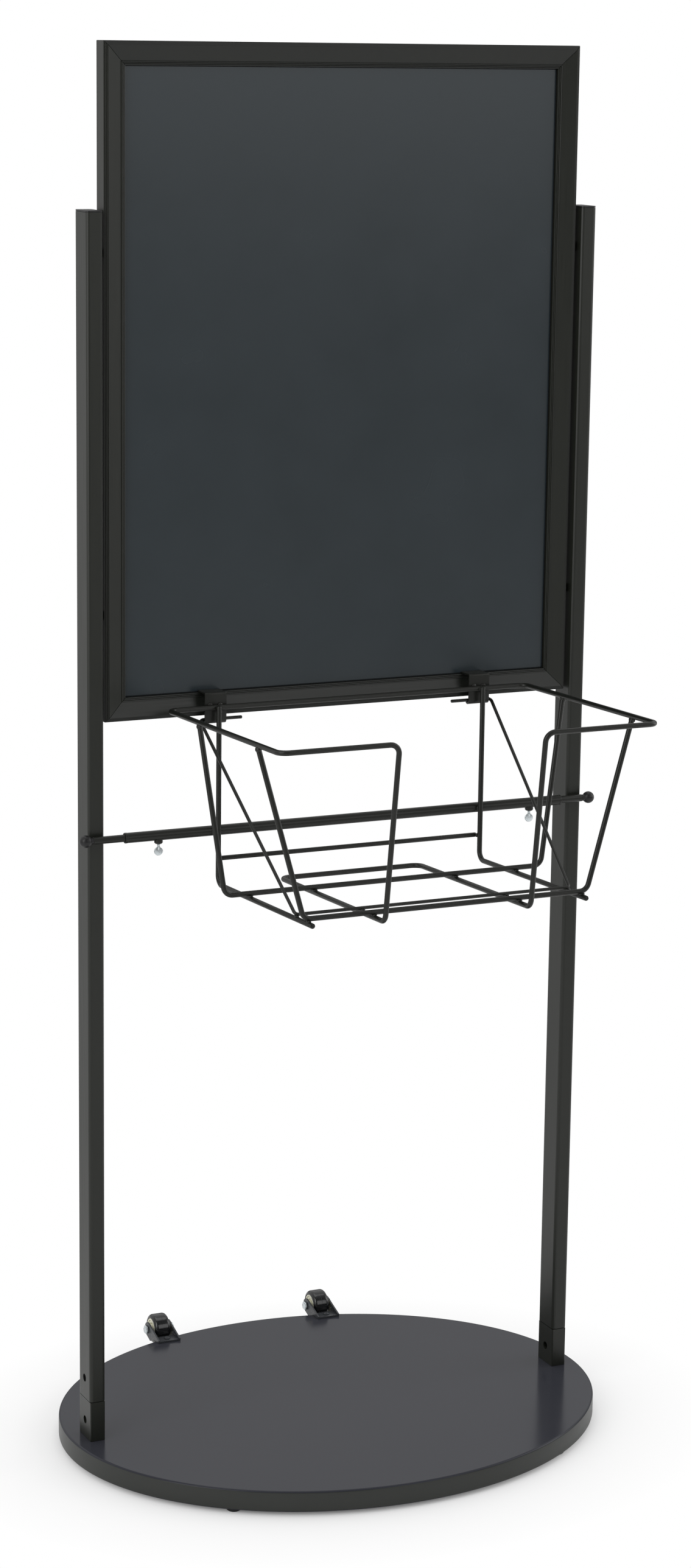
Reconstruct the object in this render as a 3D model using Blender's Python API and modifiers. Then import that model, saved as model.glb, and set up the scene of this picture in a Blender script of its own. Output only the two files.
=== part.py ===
"""Floor sign stand: oval board base, two sleeve posts, a mitred double-sided frame that a sign
panel drops into from above, a bent-wire literature basket with a telescopic stay bar, and two
tilt wheels on the back edge. Metres, +Z up, front towards -Y, origin on the floor under the board.
"""
import math

import bmesh
import bpy
from mathutils import Matrix, Vector

# Clearances
GAP = 0.0003
SLIDE_GAP = 0.0003
HOLE_GAP = 0.00035

# Base board and its glides
BOARD_PAST_POSTS = 0.0273
BOARD_DEPTH = 0.545
BOARD_THICKNESS = 0.025
BOARD_EDGE_ROUND = 0.0025
BOARD_EDGE_STEPS = 2
BOARD_SIDES = 88
GLIDE_HEIGHT = 0.005
GLIDE_RADIUS = 0.009
GLIDE_INSET = 0.013
GLIDE_ANGLE = math.radians(49.4)
GLIDE_PIN_RADIUS = 0.002
GLIDE_PIN_LENGTH = 0.011
GLIDE_CROWN = 0.002

# Posts and the stubs that they stand on and sleeve over
POST_BESIDE_FRAME = 0.0037
POST_WIDTH = 0.019
POST_DEPTH = 0.0375
POST_WALL = 0.0015
POST_CORNER = 0.0036
CORNER_LEAST = 0.0004
CORNER_STEPS = 3
POST_LENGTH = 1.371
POST_LIFT = 0.049
STUB_HEIGHT = 0.25
STUB_WALL = 0.0018
STUB_FLOOR = 0.008
STUB_SET_IN = 0.0004
STUB_CORNER = 0.0012
STUB_SHOULDER_GAP = 0.001
CROSS_HOLE_RADIUS = 0.0048
STUB_HOLE_HEIGHT = 0.0215
POST_HOLE_HEIGHT = 0.0245
CAP_THICKNESS = 0.0016
CAP_PLUG_DEPTH = 0.009
LOCK_SOCKET_RADIUS = 0.0026
BASE_BOLT_RADIUS = 0.004
BASE_BOLT_HEAD_RADIUS = 0.0075
BASE_BOLT_HEAD_HEIGHT = 0.0045
BASE_BOLT_CHAMFER = 0.0008

# Frame extrusion: u runs from the outer edge inwards, v from the middle towards a face
FRAME_WIDTH = 0.583
FRAME_HEIGHT = 0.749
FRAME_DEPTH = 0.027
FRAME_ABOVE_POSTS = 0.183
RAIL_FACE = 0.0261
RAIL_WALL = 0.0015
RAIL_OUTER_WALL = 0.002
STEP_COUNT = 3
OUTER_STEP_WIDTH = 0.0015
OUTER_STEP_DEPTH = 0.001
FACE_FALL = 0.0052
REED_COUNT = 3
REED_WIDTH = 0.0016
REED_FALL = 0.0004
REED_STEPS = 4
MITRE_GAP = 0.0003
PANEL_EDGE_ROOM = 0.002
KEY_ARM = 0.052
KEY_WIDTH = 0.012
KEY_WEB_END = 0.0468
RIVET_RADIUS = 0.0025
RIVET_HEAD_RADIUS = 0.0042
RIVET_HEAD_HEIGHT = 0.0012
RIVET_COLLAR_RADIUS = 0.005
RIVET_LOW = 0.12
RIVET_BELOW_POST_TOP = 0.045

# Sign panel: a core between two face sheets
CORE_THICKNESS = 0.0048
SHEET_THICKNESS = 0.001

# Basket wires, measured from its own middle and from the frame's bottom edge
BASKET_SHIFT = 0.004
WIRE_RADIUS = 0.003
BACK_WIRE_RADIUS = 0.0027
BRACE_RADIUS = 0.0019
BEND_RADIUS = 0.011
BRACE_BEND_RADIUS = 0.0045
BEND_STEPS = 5
RIM_HALF_WIDTH = 0.2262
RIM_RISE_AT_BACK = 0.0118
RIM_FRONT_Y = -0.343
RIM_FRONT_RISE = 0.011
FLOOR_DROP = 0.2045
FLOOR_FRONT_RISE = 0.0135
GATE_HALF_TOP = 0.0878
GATE_HALF_BOTTOM = 0.0885
GATE_FOOT_Y = -0.315
GATE_BACK_Y = -0.034
LEG_HALF = 0.167
LEG_FRONT_Y = -0.3
REAR_U_TOP_Y = -0.122
REAR_U_FOOT_Y = -0.13
REAR_U_PAST_LEG = 0.0315
FRONT_U_TOP_Y = -0.285
FRONT_U_FOOT_Y = -0.288
FRONT_U_PAST_LEG = 0.006
BRACE_FOOT_Y = -0.256
BRACE_PAST_LEG = 0.0015
BACK_WIRE_DROP = 0.1755

# Hook brackets over the frame's bottom rail
HOOK_WIDTH = 0.0265
HOOK_SHEET = 0.002
HOOK_REACH = 0.0105
HOOK_CURL_RADIUS = 0.0028
HOOK_CURL_DROP = 0.0028
HOOK_CURL_END = 350
HOOK_BEND_STEPS = 3
BRACE_INBOARD = 0.021

# Telescopic stay bar behind the basket
BAR_DROP = 0.1431
BAR_END_INSIDE_POST = 0.0267
BAR_RADIUS = 0.0061
BAR_BORE_RADIUS = 0.0047
ROD_RADIUS = 0.00425
ROD_LENGTH = 0.2
ROD_CHAMFER = 0.0006
BALL_RADIUS = 0.0071
BALL_NECK_RADIUS = 0.0033
BALL_NECK_LENGTH = 0.0024
BALL_PAST_POST = 0.0062
BALL_CROWN_ANGLE = 72
SCREW_FROM_BAR_END = 0.0413
SCREW_RADIUS = 0.0024
COLLAR_RADIUS = 0.0063
COLLAR_FOOT_RADIUS = 0.0042
COLLAR_DROP = 0.0102
COLLAR_TAPER = 0.0022
SPADE_RADIUS = 0.0053
SPADE_DROP = 0.0182
SPADE_NECK_DROP = 0.0135
SPADE_THICKNESS = 0.0024
SPADE_NECK_HALF = 0.0017
SPADE_SHOULDER_ANGLE = 150
SPADE_STEPS = 14

# Tilt wheels and their pressed forks
WHEEL_SPACING = 0.22
WHEEL_RADIUS = 0.0185
WHEEL_WIDTH = 0.021
WHEEL_SHOULDER = 0.0045
SHOULDER_STEPS = 4
AXLE_BEHIND_EDGE = 0.0224
AXLE_ABOVE_BOARD = 0.006
TYRE_INNER_RADIUS = 0.0135
HUB_BORE_RADIUS = 0.0034
HUB_BOSS_RADIUS = 0.0065
HUB_RIM_WALL = 0.002
HUB_WEB_HALF = 0.003
WHEEL_SIDE_GAP = 0.0024
FORK_SHEET = 0.002
FORK_BOSS_RADIUS = 0.009
FORK_TOE_LENGTH = 0.0375
FORK_TOE_HEIGHT = 0.003
FORK_PLATE_END = 0.0215
FORK_EAR_START = 0.018
FORK_HEEL_BACK = 0.0085
FORK_HEEL_DROP = 0.0125
FORK_HEEL_ANGLE = 65
FORK_EAR_ANGLE = 110
FORK_EAR_STEPS = 12
AXLE_RADIUS = 0.003
AXLE_HEAD_RADIUS = 0.0056
AXLE_HEAD_HEIGHT = 0.0032
AXLE_TAIL = 0.0047
FORK_SCREW_RADIUS = 0.0019
FORK_SCREW_HEAD_RADIUS = 0.0038
FORK_SCREW_HEAD_HEIGHT = 0.0018
FORK_SCREW_CROWN_RADIUS = 0.0023
FORK_SCREW_EDGE_HEIGHT = 0.0007
FORK_SCREW_LENGTH = 0.014
FORK_SCREW_BACK = 0.0295

# Turned pieces and wires share these facet counts
ROUND_STEPS = 18
SMALL_STEPS = 12
FINE_STEPS = 24
ARC_STEPS = 8
HEX_SIDES = 6
WIRE_BEVEL_RESOLUTION = 2
WELD_DISTANCE = 0.000002
SHARP_ANGLE = math.radians(35)

# Heights and planes that several pieces share
BOARD_TOP = GLIDE_HEIGHT + BOARD_THICKNESS
POST_BOTTOM = BOARD_TOP + POST_LIFT
POST_TOP = POST_BOTTOM + POST_LENGTH
FRAME_TOP = POST_TOP + FRAME_ABOVE_POSTS
FRAME_BOTTOM = FRAME_TOP - FRAME_HEIGHT
FRAME_FRONT = -FRAME_DEPTH / 2
POST_X = FRAME_WIDTH / 2 + POST_BESIDE_FRAME + POST_WIDTH / 2
BOARD_WIDTH = 2 * (POST_X + BOARD_PAST_POSTS)
BAR_HALF_LENGTH = POST_X - BAR_END_INSIDE_POST
SCREW_HALF_SPACING = BAR_HALF_LENGTH - SCREW_FROM_BAR_END
PACK_HALF = CORE_THICKNESS / 2 + SHEET_THICKNESS + GAP
SLOT_HALF = PACK_HALF + SLIDE_GAP
OUTER_STEP_BASE = FRAME_FRONT + STEP_COUNT * OUTER_STEP_DEPTH
REED_BASE = FRAME_FRONT + FACE_FALL
STEP_RUN_OUT = STEP_COUNT * OUTER_STEP_WIDTH
REED_START = RAIL_FACE - REED_COUNT * REED_WIDTH
PANEL_HALF_WIDTH = FRAME_WIDTH / 2 - RAIL_OUTER_WALL - PANEL_EDGE_ROOM
PANEL_FOOT = FRAME_BOTTOM + RAIL_OUTER_WALL + GAP
PANEL_HEIGHT = FRAME_HEIGHT - RAIL_OUTER_WALL - GAP - RAIL_OUTER_WALL
HOOK_BACK_Y = FRAME_FRONT - HOOK_REACH
HOOK_FRONT_Y = HOOK_BACK_Y - HOOK_SHEET
RIM_BACK_Y = HOOK_FRONT_Y - GAP - WIRE_RADIUS
LEG_Y = RIM_BACK_Y - 2 * WIRE_RADIUS - GAP
BAR_Y = LEG_Y + WIRE_RADIUS + GAP + BAR_RADIUS
BACK_WIRE_Y = LEG_Y + WIRE_RADIUS + GAP + BACK_WIRE_RADIUS
RIM_Z = RIM_RISE_AT_BACK
FLOOR_Z = RIM_Z - FLOOR_DROP
BAR_Z = RIM_Z - BAR_DROP
REAR_U_FOOT_HALF = LEG_HALF + REAR_U_PAST_LEG
FRONT_U_FOOT_HALF = LEG_HALF + FRONT_U_PAST_LEG
BRACE_FOOT_HALF = LEG_HALF + BRACE_PAST_LEG
CURL_Y = HOOK_BACK_Y + HOOK_CURL_RADIUS
CURL_Z = -HOOK_CURL_DROP
WHEEL_X = WHEEL_SPACING / 2
BOARD_EDGE_AT_WHEEL = BOARD_DEPTH / 2 * math.sqrt(1 - (WHEEL_X / (BOARD_WIDTH / 2)) ** 2)
AXLE_Y = BOARD_EDGE_AT_WHEEL + AXLE_BEHIND_EDGE
AXLE_Z = BOARD_TOP + AXLE_ABOVE_BOARD
FORK_INNER_HALF = WHEEL_WIDTH / 2 + WHEEL_SIDE_GAP
FORK_OUTER_HALF = FORK_INNER_HALF + FORK_SHEET

# Rotations that stand a shape up from its own flat axes
ALONG_X = (0, math.pi / 2, 0)
PROFILE_YZ = (math.pi / 2, 0, math.pi / 2)
PROFILE_XZ = (math.pi / 2, 0, 0)


def clear_scene():
    """Remove the objects that a new scene starts with."""
    for obj in list(bpy.data.objects):
        bpy.data.objects.remove(obj, do_unlink=True)


def new_collection(name):
    """Make a collection in the scene and give it back."""
    collection = bpy.data.collections.new(name)
    bpy.context.scene.collection.children.link(collection)
    return collection


def new_material(name, colour, roughness, metallic):
    """Make a Principled material from a linear colour."""
    material = bpy.data.materials.new(name)
    material.use_nodes = True
    shader = material.node_tree.nodes["Principled BSDF"]
    shader.inputs["Base Color"].default_value = (*colour, 1)
    shader.inputs["Roughness"].default_value = roughness
    shader.inputs["Metallic"].default_value = metallic
    return material


clear_scene()
PARTS = new_collection("sign_stand")
CUTTERS = new_collection("cutters")

BLACK_POWDER = new_material("black_powder_coat", (0.024, 0.025, 0.026), 0.42, 0.0)
BLACK_ALUMINIUM = new_material("black_anodised_aluminium", (0.03, 0.031, 0.032), 0.38, 0.6)
BOARD_LAMINATE = new_material("grey_laminate", (0.089, 0.091, 0.098), 0.35, 0.0)
BLACK_PLASTIC = new_material("black_plastic", (0.015, 0.015, 0.016), 0.4, 0.0)
SLATE_SHEET = new_material("slate_pvc_sheet", (0.045, 0.05, 0.056), 0.28, 0.0)
FOAM_CORE = new_material("black_foam_board", (0.02, 0.02, 0.021), 0.7, 0.0)
ZINC_STEEL = new_material("zinc_plated_steel", (0.55, 0.57, 0.58), 0.3, 1.0)
TYRE_RUBBER = new_material("black_rubber", (0.02, 0.02, 0.021), 0.3, 0.0)
HUB_NYLON = new_material("cream_nylon", (0.62, 0.58, 0.44), 0.45, 0.0)


def add_frame(name, parent, place):
    """Add an empty that a moving group hangs on, at its joint."""
    empty = bpy.data.objects.new(name, None)
    PARTS.objects.link(empty)
    empty.parent = parent
    empty.location = place
    return empty


def add_part(name, data, material, parent, place=(0, 0, 0), turn=(0, 0, 0)):
    """Add one named piece under a parent."""
    obj = bpy.data.objects.new(name, data)
    PARTS.objects.link(obj)
    obj.parent = parent
    obj.location = place
    obj.rotation_euler = turn
    obj.data.materials.append(material)
    return obj


def add_cutter(name, data, parent, place=(0, 0, 0), turn=(0, 0, 0)):
    """Add a shape that only cuts or joins other pieces."""
    obj = bpy.data.objects.new(name, data)
    CUTTERS.objects.link(obj)
    obj.parent = parent
    obj.location = place
    obj.rotation_euler = turn
    obj.hide_render = True
    obj.display_type = "WIRE"
    return obj


def combine(obj, other, operation):
    """Cut another shape out of a piece, or join it on."""
    modifier = obj.modifiers.new(operation.lower() + "_" + other.name, "BOOLEAN")
    modifier.operation = operation
    modifier.object = other


def box_mesh(name, low, high):
    """Make a box between two corners."""
    low = Vector(low)
    high = Vector(high)
    bm = bmesh.new()
    bmesh.ops.create_cube(bm, size=1)
    bmesh.ops.scale(bm, vec=high - low, verts=bm.verts)
    bmesh.ops.translate(bm, vec=(low + high) / 2, verts=bm.verts)
    mesh = bpy.data.meshes.new(name)
    bm.to_mesh(mesh)
    bm.free()
    return mesh


def rod_mesh(name, radius, low, high, sides=ROUND_STEPS):
    """Make a cylinder, or a prism with few sides, on the Z axis between two heights."""
    bm = bmesh.new()
    bmesh.ops.create_cone(bm, cap_ends=True, segments=sides, radius1=radius, radius2=radius, depth=high - low)
    bmesh.ops.translate(bm, vec=(0, 0, (low + high) / 2), verts=bm.verts)
    mesh = bpy.data.meshes.new(name)
    bm.to_mesh(mesh)
    bm.free()
    return mesh


def profile_mesh(name, points, closed):
    """Make the edge chain that a Screw modifier turns."""
    mesh = bpy.data.meshes.new(name)
    edges = [(i, i + 1) for i in range(len(points) - 1)]
    if closed:
        edges.append((len(points) - 1, 0))
    mesh.from_pydata([(r, 0, z) for r, z in points], edges, [])
    return mesh


def add_turned(name, points, material, parent, place=(0, 0, 0), turn=(0, 0, 0), closed=False,
               steps=ROUND_STEPS):
    """Add a piece turned from a profile that runs down its outer side."""
    obj = add_part(name, profile_mesh(name, points, closed), material, parent, place, turn)
    screw = obj.modifiers.new("turn", "SCREW")
    screw.steps = steps
    screw.render_steps = steps
    screw.use_merge_vertices = True
    screw.merge_threshold = WELD_DISTANCE
    screw.use_smooth_shade = True
    return obj


def extruded_mesh(name, loops, low, high):
    """Extrude a flat outline, with any holes, between two heights and weld it into a mesh."""
    curve = bpy.data.curves.new(name, "CURVE")
    curve.dimensions = "2D"
    curve.fill_mode = "BOTH"
    curve.extrude = (high - low) / 2
    for loop in loops:
        spline = curve.splines.new("POLY")
        spline.points.add(len(loop) - 1)
        spline.use_cyclic_u = True
        for point, (x, y) in zip(spline.points, loop):
            point.co = (x, y, 0, 1)
    obj = bpy.data.objects.new(name, curve)
    CUTTERS.objects.link(obj)
    bpy.context.view_layer.update()
    solid = obj.evaluated_get(bpy.context.evaluated_depsgraph_get())
    mesh = bpy.data.meshes.new_from_object(solid)
    bpy.data.objects.remove(obj, do_unlink=True)
    bm = bmesh.new()
    bm.from_mesh(mesh)
    bmesh.ops.remove_doubles(bm, verts=bm.verts, dist=WELD_DISTANCE)
    bmesh.ops.translate(bm, vec=(0, 0, (low + high) / 2), verts=bm.verts)
    bm.to_mesh(mesh)
    bm.free()
    return mesh


def arc(centre, radius, start, end, steps=ARC_STEPS):
    """Give points on an arc, angles in degrees."""
    points = []
    for step in range(steps + 1):
        angle = math.radians(start + (end - start) * step / steps)
        points.append((centre[0] + radius * math.cos(angle), centre[1] + radius * math.sin(angle)))
    return points


def rounded_rectangle(width, depth, radius):
    """Give the outline of a rectangle with round corners."""
    outline = []
    for sx, sy, start in ((1, 1, 0), (-1, 1, 90), (-1, -1, 180), (1, -1, 270)):
        centre = (sx * (width / 2 - radius), sy * (depth / 2 - radius))
        outline += arc(centre, radius, start, start + 90, CORNER_STEPS)
    return outline


def rounded_path(corners, radius, closed=False):
    """Round the corners of a bent wire's route with arcs."""
    points = []
    last = len(corners) - 1
    for index, corner in enumerate(corners):
        corner = Vector(corner)
        if not closed and index in (0, last):
            points.append(corner)
            continue
        inward = (Vector(corners[index - 1]) - corner).normalized()
        outward = (Vector(corners[(index + 1) % len(corners)]) - corner).normalized()
        half_angle = inward.angle(outward) / 2
        centre = corner + (inward + outward).normalized() * radius / math.sin(half_angle)
        start = corner + inward * radius / math.tan(half_angle) - centre
        finish = corner + outward * radius / math.tan(half_angle) - centre
        axis = start.cross(finish).normalized()
        sweep = math.pi - 2 * half_angle
        for step in range(BEND_STEPS + 1):
            points.append(centre + Matrix.Rotation(sweep * step / BEND_STEPS, 3, axis) @ start)
    return points


def add_wire(name, corners, radius, parent, bend=BEND_RADIUS, closed=False):
    """Add a bent wire that follows a route of corners."""
    curve = bpy.data.curves.new(name, "CURVE")
    curve.dimensions = "3D"
    curve.bevel_depth = radius
    curve.bevel_resolution = WIRE_BEVEL_RESOLUTION
    curve.use_fill_caps = not closed
    curve.render_resolution_u = 0
    spline = curve.splines.new("POLY")
    route = rounded_path(corners, bend, closed)
    spline.points.add(len(route) - 1)
    spline.use_cyclic_u = closed
    for point, place in zip(spline.points, route):
        point.co = (*place, 1)
    return add_part(name, curve, BLACK_POWDER, parent)


def floor_height(y):
    """Give the height of the basket's lengthwise floor wires, which climb to the front."""
    share = (LEG_Y - y) / (LEG_Y - LEG_FRONT_Y)
    return FLOOR_Z + FLOOR_FRONT_RISE * share


def rim_height(y):
    """Give the height of the basket's rim, which climbs to the front."""
    share = (RIM_BACK_Y - y) / (RIM_BACK_Y - RIM_FRONT_Y)
    return RIM_Z + RIM_FRONT_RISE * share


def build_board(base):
    """Build the oval board with its bolt holes, counterbores and pilot holes."""
    bm = bmesh.new()
    bmesh.ops.create_cone(
        bm, cap_ends=True, segments=BOARD_SIDES, radius1=0.5, radius2=0.5, depth=BOARD_THICKNESS)
    bmesh.ops.scale(bm, vec=(BOARD_WIDTH, BOARD_DEPTH, 1), verts=bm.verts)
    bmesh.ops.translate(bm, vec=(0, 0, GLIDE_HEIGHT + BOARD_THICKNESS / 2), verts=bm.verts)
    rims = [edge for edge in bm.edges if abs(edge.verts[0].co.z - edge.verts[1].co.z) < BOARD_EDGE_ROUND / 2]
    bmesh.ops.bevel(
        bm, geom=rims, offset=BOARD_EDGE_ROUND, segments=BOARD_EDGE_STEPS, profile=0.5, affect="EDGES")
    mesh = bpy.data.meshes.new("base_board")
    bm.to_mesh(mesh)
    bm.free()
    board = add_part("base_board", mesh, BOARD_LAMINATE, base)
    for side, sign in (("left", -1), ("right", 1)):
        bore = rod_mesh("bolt_bore", BASE_BOLT_RADIUS + HOLE_GAP, 0, BOARD_TOP * 2)
        combine(board, add_cutter("bolt_bore_" + side, bore, base, (sign * POST_X, 0, 0)), "DIFFERENCE")
        seat_top = GLIDE_HEIGHT + BASE_BOLT_HEAD_HEIGHT + 2 * GAP
        seat = rod_mesh("bolt_seat", BASE_BOLT_HEAD_RADIUS + HOLE_GAP, 0, seat_top)
        combine(board, add_cutter("bolt_seat_" + side, seat, base, (sign * POST_X, 0, 0)), "DIFFERENCE")
        pilot_foot = BOARD_TOP - FORK_SCREW_LENGTH - GAP
        pilot = rod_mesh("pilot", FORK_SCREW_RADIUS + HOLE_GAP, pilot_foot, BOARD_TOP * 2)
        place = (sign * WHEEL_X, AXLE_Y - FORK_SCREW_BACK, 0)
        combine(board, add_cutter("fork_pilot_" + side, pilot, base, place), "DIFFERENCE")
    for name, x, y in glide_places():
        pilot_top = GLIDE_HEIGHT + GLIDE_PIN_LENGTH + GAP
        pilot = rod_mesh("glide_pilot", GLIDE_PIN_RADIUS + HOLE_GAP, 0, pilot_top)
        combine(board, add_cutter("pilot_" + name, pilot, base, (x, y, 0)), "DIFFERENCE")


def glide_places():
    """Give the name and place of each glide, just inside the board's edge."""
    reach_x = BOARD_WIDTH / 2 - GLIDE_INSET
    reach_y = BOARD_DEPTH / 2 - GLIDE_INSET
    places = []
    for row, sy in (("front", -1), ("back", 1)):
        for side, sx in (("left", -1), ("right", 1)):
            x = sx * reach_x * math.cos(GLIDE_ANGLE)
            y = sy * reach_y * math.sin(GLIDE_ANGLE)
            places.append(("glide_" + row + "_" + side, x, y))
    return places


def build_glides(base):
    """Build the round nail-in glides under the board."""
    profile = [
        (0, GLIDE_HEIGHT + GLIDE_PIN_LENGTH),
        (GLIDE_PIN_RADIUS, GLIDE_HEIGHT + GLIDE_PIN_LENGTH - GLIDE_PIN_RADIUS),
        (GLIDE_PIN_RADIUS, GLIDE_HEIGHT - GAP),
        (GLIDE_RADIUS, GLIDE_HEIGHT - GAP),
        (GLIDE_RADIUS, GLIDE_CROWN),
        (GLIDE_RADIUS - GLIDE_CROWN, 0),
        (0, 0),
    ]
    for name, x, y in glide_places():
        add_turned(name, profile, BLACK_PLASTIC, base, (x, y, 0), steps=SMALL_STEPS)


def spigot_size():
    """Give the width, depth and corner of the spigot that fills the post's bore."""
    width = POST_WIDTH - 2 * POST_WALL - 2 * SLIDE_GAP
    depth = POST_DEPTH - 2 * POST_WALL - 2 * SLIDE_GAP
    return width, depth, inner_corner(POST_CORNER, POST_WALL + SLIDE_GAP)


def inner_corner(radius, wall):
    """Give the corner of an outline set in by a wall, never sharper than a die leaves it."""
    return max(radius - wall, CORNER_LEAST)


def build_stubs(base):
    """Build the stubs, each a foot with a spigot up the post, and the bolts that hold them from below."""
    width, depth, corner = spigot_size()
    inner = rounded_rectangle(width - 2 * STUB_WALL, depth - 2 * STUB_WALL, inner_corner(corner, STUB_WALL))
    spigot = rounded_rectangle(width, depth, corner)
    sole = rounded_rectangle(POST_WIDTH - 2 * STUB_SET_IN, POST_DEPTH - 2 * STUB_SET_IN, STUB_CORNER)
    foot = BOARD_TOP + GAP
    shoulder = POST_BOTTOM - STUB_SHOULDER_GAP
    for side, sign in (("left", -1), ("right", 1)):
        block = extruded_mesh("stub", [sole], foot, shoulder)
        stub = add_part("stub_" + side, block, BLACK_ALUMINIUM, base, (sign * POST_X, 0, 0))
        tube = extruded_mesh("spigot", [spigot], foot + STUB_FLOOR, foot + STUB_HEIGHT)
        combine(stub, add_cutter("spigot_" + side, tube, base, (sign * POST_X, 0, 0)), "UNION")
        bore = extruded_mesh("stub_bore", [inner], foot + STUB_FLOOR, foot + STUB_HEIGHT * 2)
        combine(stub, add_cutter("stub_bore_" + side, bore, base, (sign * POST_X, 0, 0)), "DIFFERENCE")
        thread = rod_mesh("stub_thread", BASE_BOLT_RADIUS + HOLE_GAP, 0, foot + STUB_FLOOR * 2)
        combine(stub, add_cutter("stub_thread_" + side, thread, base, (sign * POST_X, 0, 0)), "DIFFERENCE")
        hole = rod_mesh("stub_hole", CROSS_HOLE_RADIUS, -POST_WIDTH, POST_WIDTH)
        place = (sign * POST_X, 0, BOARD_TOP + STUB_HOLE_HEIGHT)
        combine(stub, add_cutter("stub_hole_" + side, hole, base, place, ALONG_X), "DIFFERENCE")
        head_top = GLIDE_HEIGHT + GAP + BASE_BOLT_HEAD_HEIGHT
        tip = foot + STUB_FLOOR - GAP
        bolt = [
            (0, tip),
            (BASE_BOLT_RADIUS - BASE_BOLT_CHAMFER, tip),
            (BASE_BOLT_RADIUS, tip - BASE_BOLT_CHAMFER),
            (BASE_BOLT_RADIUS, head_top),
            (BASE_BOLT_HEAD_RADIUS, head_top),
            (BASE_BOLT_HEAD_RADIUS, GLIDE_HEIGHT + GAP),
            (0, GLIDE_HEIGHT + GAP),
        ]
        add_turned("base_bolt_" + side, bolt, ZINC_STEEL, base, (sign * POST_X, 0, 0), steps=SMALL_STEPS)


def build_posts(mast):
    """Build the sleeve posts with their cross holes, end caps and lock screws."""
    outer = rounded_rectangle(POST_WIDTH, POST_DEPTH, POST_CORNER)
    bore_width = POST_WIDTH - 2 * POST_WALL
    bore_depth = POST_DEPTH - 2 * POST_WALL
    bore_corner = inner_corner(POST_CORNER, POST_WALL)
    inner = rounded_rectangle(bore_width, bore_depth, bore_corner)
    plug_corner = inner_corner(bore_corner, GAP)
    plug = rounded_rectangle(bore_width - 2 * GAP, bore_depth - 2 * GAP, plug_corner)
    for side, sign in (("left", -1), ("right", 1)):
        x = sign * POST_X
        tube = extruded_mesh("post", [outer, inner], 0, POST_LENGTH)
        post = add_part("post_" + side, tube, BLACK_ALUMINIUM, mast, (x, 0, 0))
        outer_face = sign * POST_WIDTH / 2
        hole = rod_mesh("post_hole", CROSS_HOLE_RADIUS, -POST_WALL * 2, POST_WALL * 2)
        place = (x + outer_face, 0, POST_HOLE_HEIGHT)
        combine(post, add_cutter("post_hole_" + side, hole, mast, place, ALONG_X), "DIFFERENCE")
        for level, height in rivet_heights():
            hole = rod_mesh("rivet_hole", RIVET_RADIUS + HOLE_GAP, -POST_WALL * 2, POST_WALL * 2)
            place = (x - outer_face, 0, height - POST_BOTTOM)
            cutter = add_cutter("post_rivet_" + level + "_" + side, hole, mast, place, ALONG_X)
            combine(post, cutter, "DIFFERENCE")
        cap_mesh = extruded_mesh("cap", [outer], POST_LENGTH + GAP, POST_LENGTH + GAP + CAP_THICKNESS)
        cap = add_part("post_cap_" + side, cap_mesh, BLACK_PLASTIC, mast, (x, 0, 0))
        cap_middle = POST_LENGTH + GAP + CAP_THICKNESS / 2
        stem = extruded_mesh("cap_stem", [plug], POST_LENGTH - CAP_PLUG_DEPTH, cap_middle)
        combine(cap, add_cutter("cap_stem_" + side, stem, mast, (x, 0, 0)), "UNION")
        build_lock_screw(mast, side, sign)


def build_lock_screw(mast, side, sign):
    """Build the short socket screw that clamps a post on its stub."""
    radius = CROSS_HOLE_RADIUS - HOLE_GAP
    length = POST_WALL + SLIDE_GAP - 2 * GAP
    middle = sign * (POST_WIDTH / 2 - GAP - length / 2)
    place = (sign * POST_X + middle, 0, POST_HOLE_HEIGHT)
    disc = rod_mesh("lock_screw", radius, -length / 2, length / 2)
    screw = add_part("lock_screw_" + side, disc, BLACK_POWDER, mast, place, ALONG_X)
    key = rod_mesh("lock_socket", LOCK_SOCKET_RADIUS, -length / 4, length / 4, HEX_SIDES)
    key_place = (place[0] + sign * length / 2, 0, POST_HOLE_HEIGHT)
    combine(screw, add_cutter("lock_socket_" + side, key, mast, key_place, ALONG_X), "DIFFERENCE")


def rivet_heights():
    """Give the two heights at which each post is riveted to the frame."""
    return ("low", FRAME_BOTTOM + RIVET_LOW), ("high", POST_TOP - RIVET_BELOW_POST_TOP)


def face_depth(u):
    """Give the depth of the rail's face, which slopes from the outer steps down to the reeds."""
    return FRAME_FRONT + FACE_FALL * (u - STEP_RUN_OUT) / (REED_START - STEP_RUN_OUT)


def rail_profile():
    """Give the rail's C section: outer steps, a sloping face, inner reeds, and a slot for the panel."""
    front = [(0, OUTER_STEP_BASE)]
    for step in range(STEP_COUNT):
        u = (step + 1) * OUTER_STEP_WIDTH
        v = OUTER_STEP_BASE - step * OUTER_STEP_DEPTH
        front += [(u, v), (u, v - OUTER_STEP_DEPTH)]
    for reed in range(REED_COUNT):
        middle = REED_START + (reed + 0.5) * REED_WIDTH
        front += arc((middle, REED_BASE + reed * REED_FALL), REED_WIDTH / 2, 180, 360, REED_STEPS)
    inside_step = OUTER_STEP_BASE + RAIL_WALL
    inside_lip = REED_BASE + (REED_COUNT - 1) * REED_FALL + RAIL_WALL
    inside_turn = STEP_RUN_OUT + RAIL_WALL
    front += [
        (RAIL_FACE, -SLOT_HALF),
        (RAIL_FACE - RAIL_WALL, -SLOT_HALF),
        (RAIL_FACE - RAIL_WALL, inside_lip),
        (REED_START, REED_BASE + RAIL_WALL),
        (inside_turn, face_depth(inside_turn) + RAIL_WALL),
        (inside_turn, inside_step),
        (RAIL_OUTER_WALL, inside_step),
    ]
    return front + [(u, -v) for u, v in reversed(front)]


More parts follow.
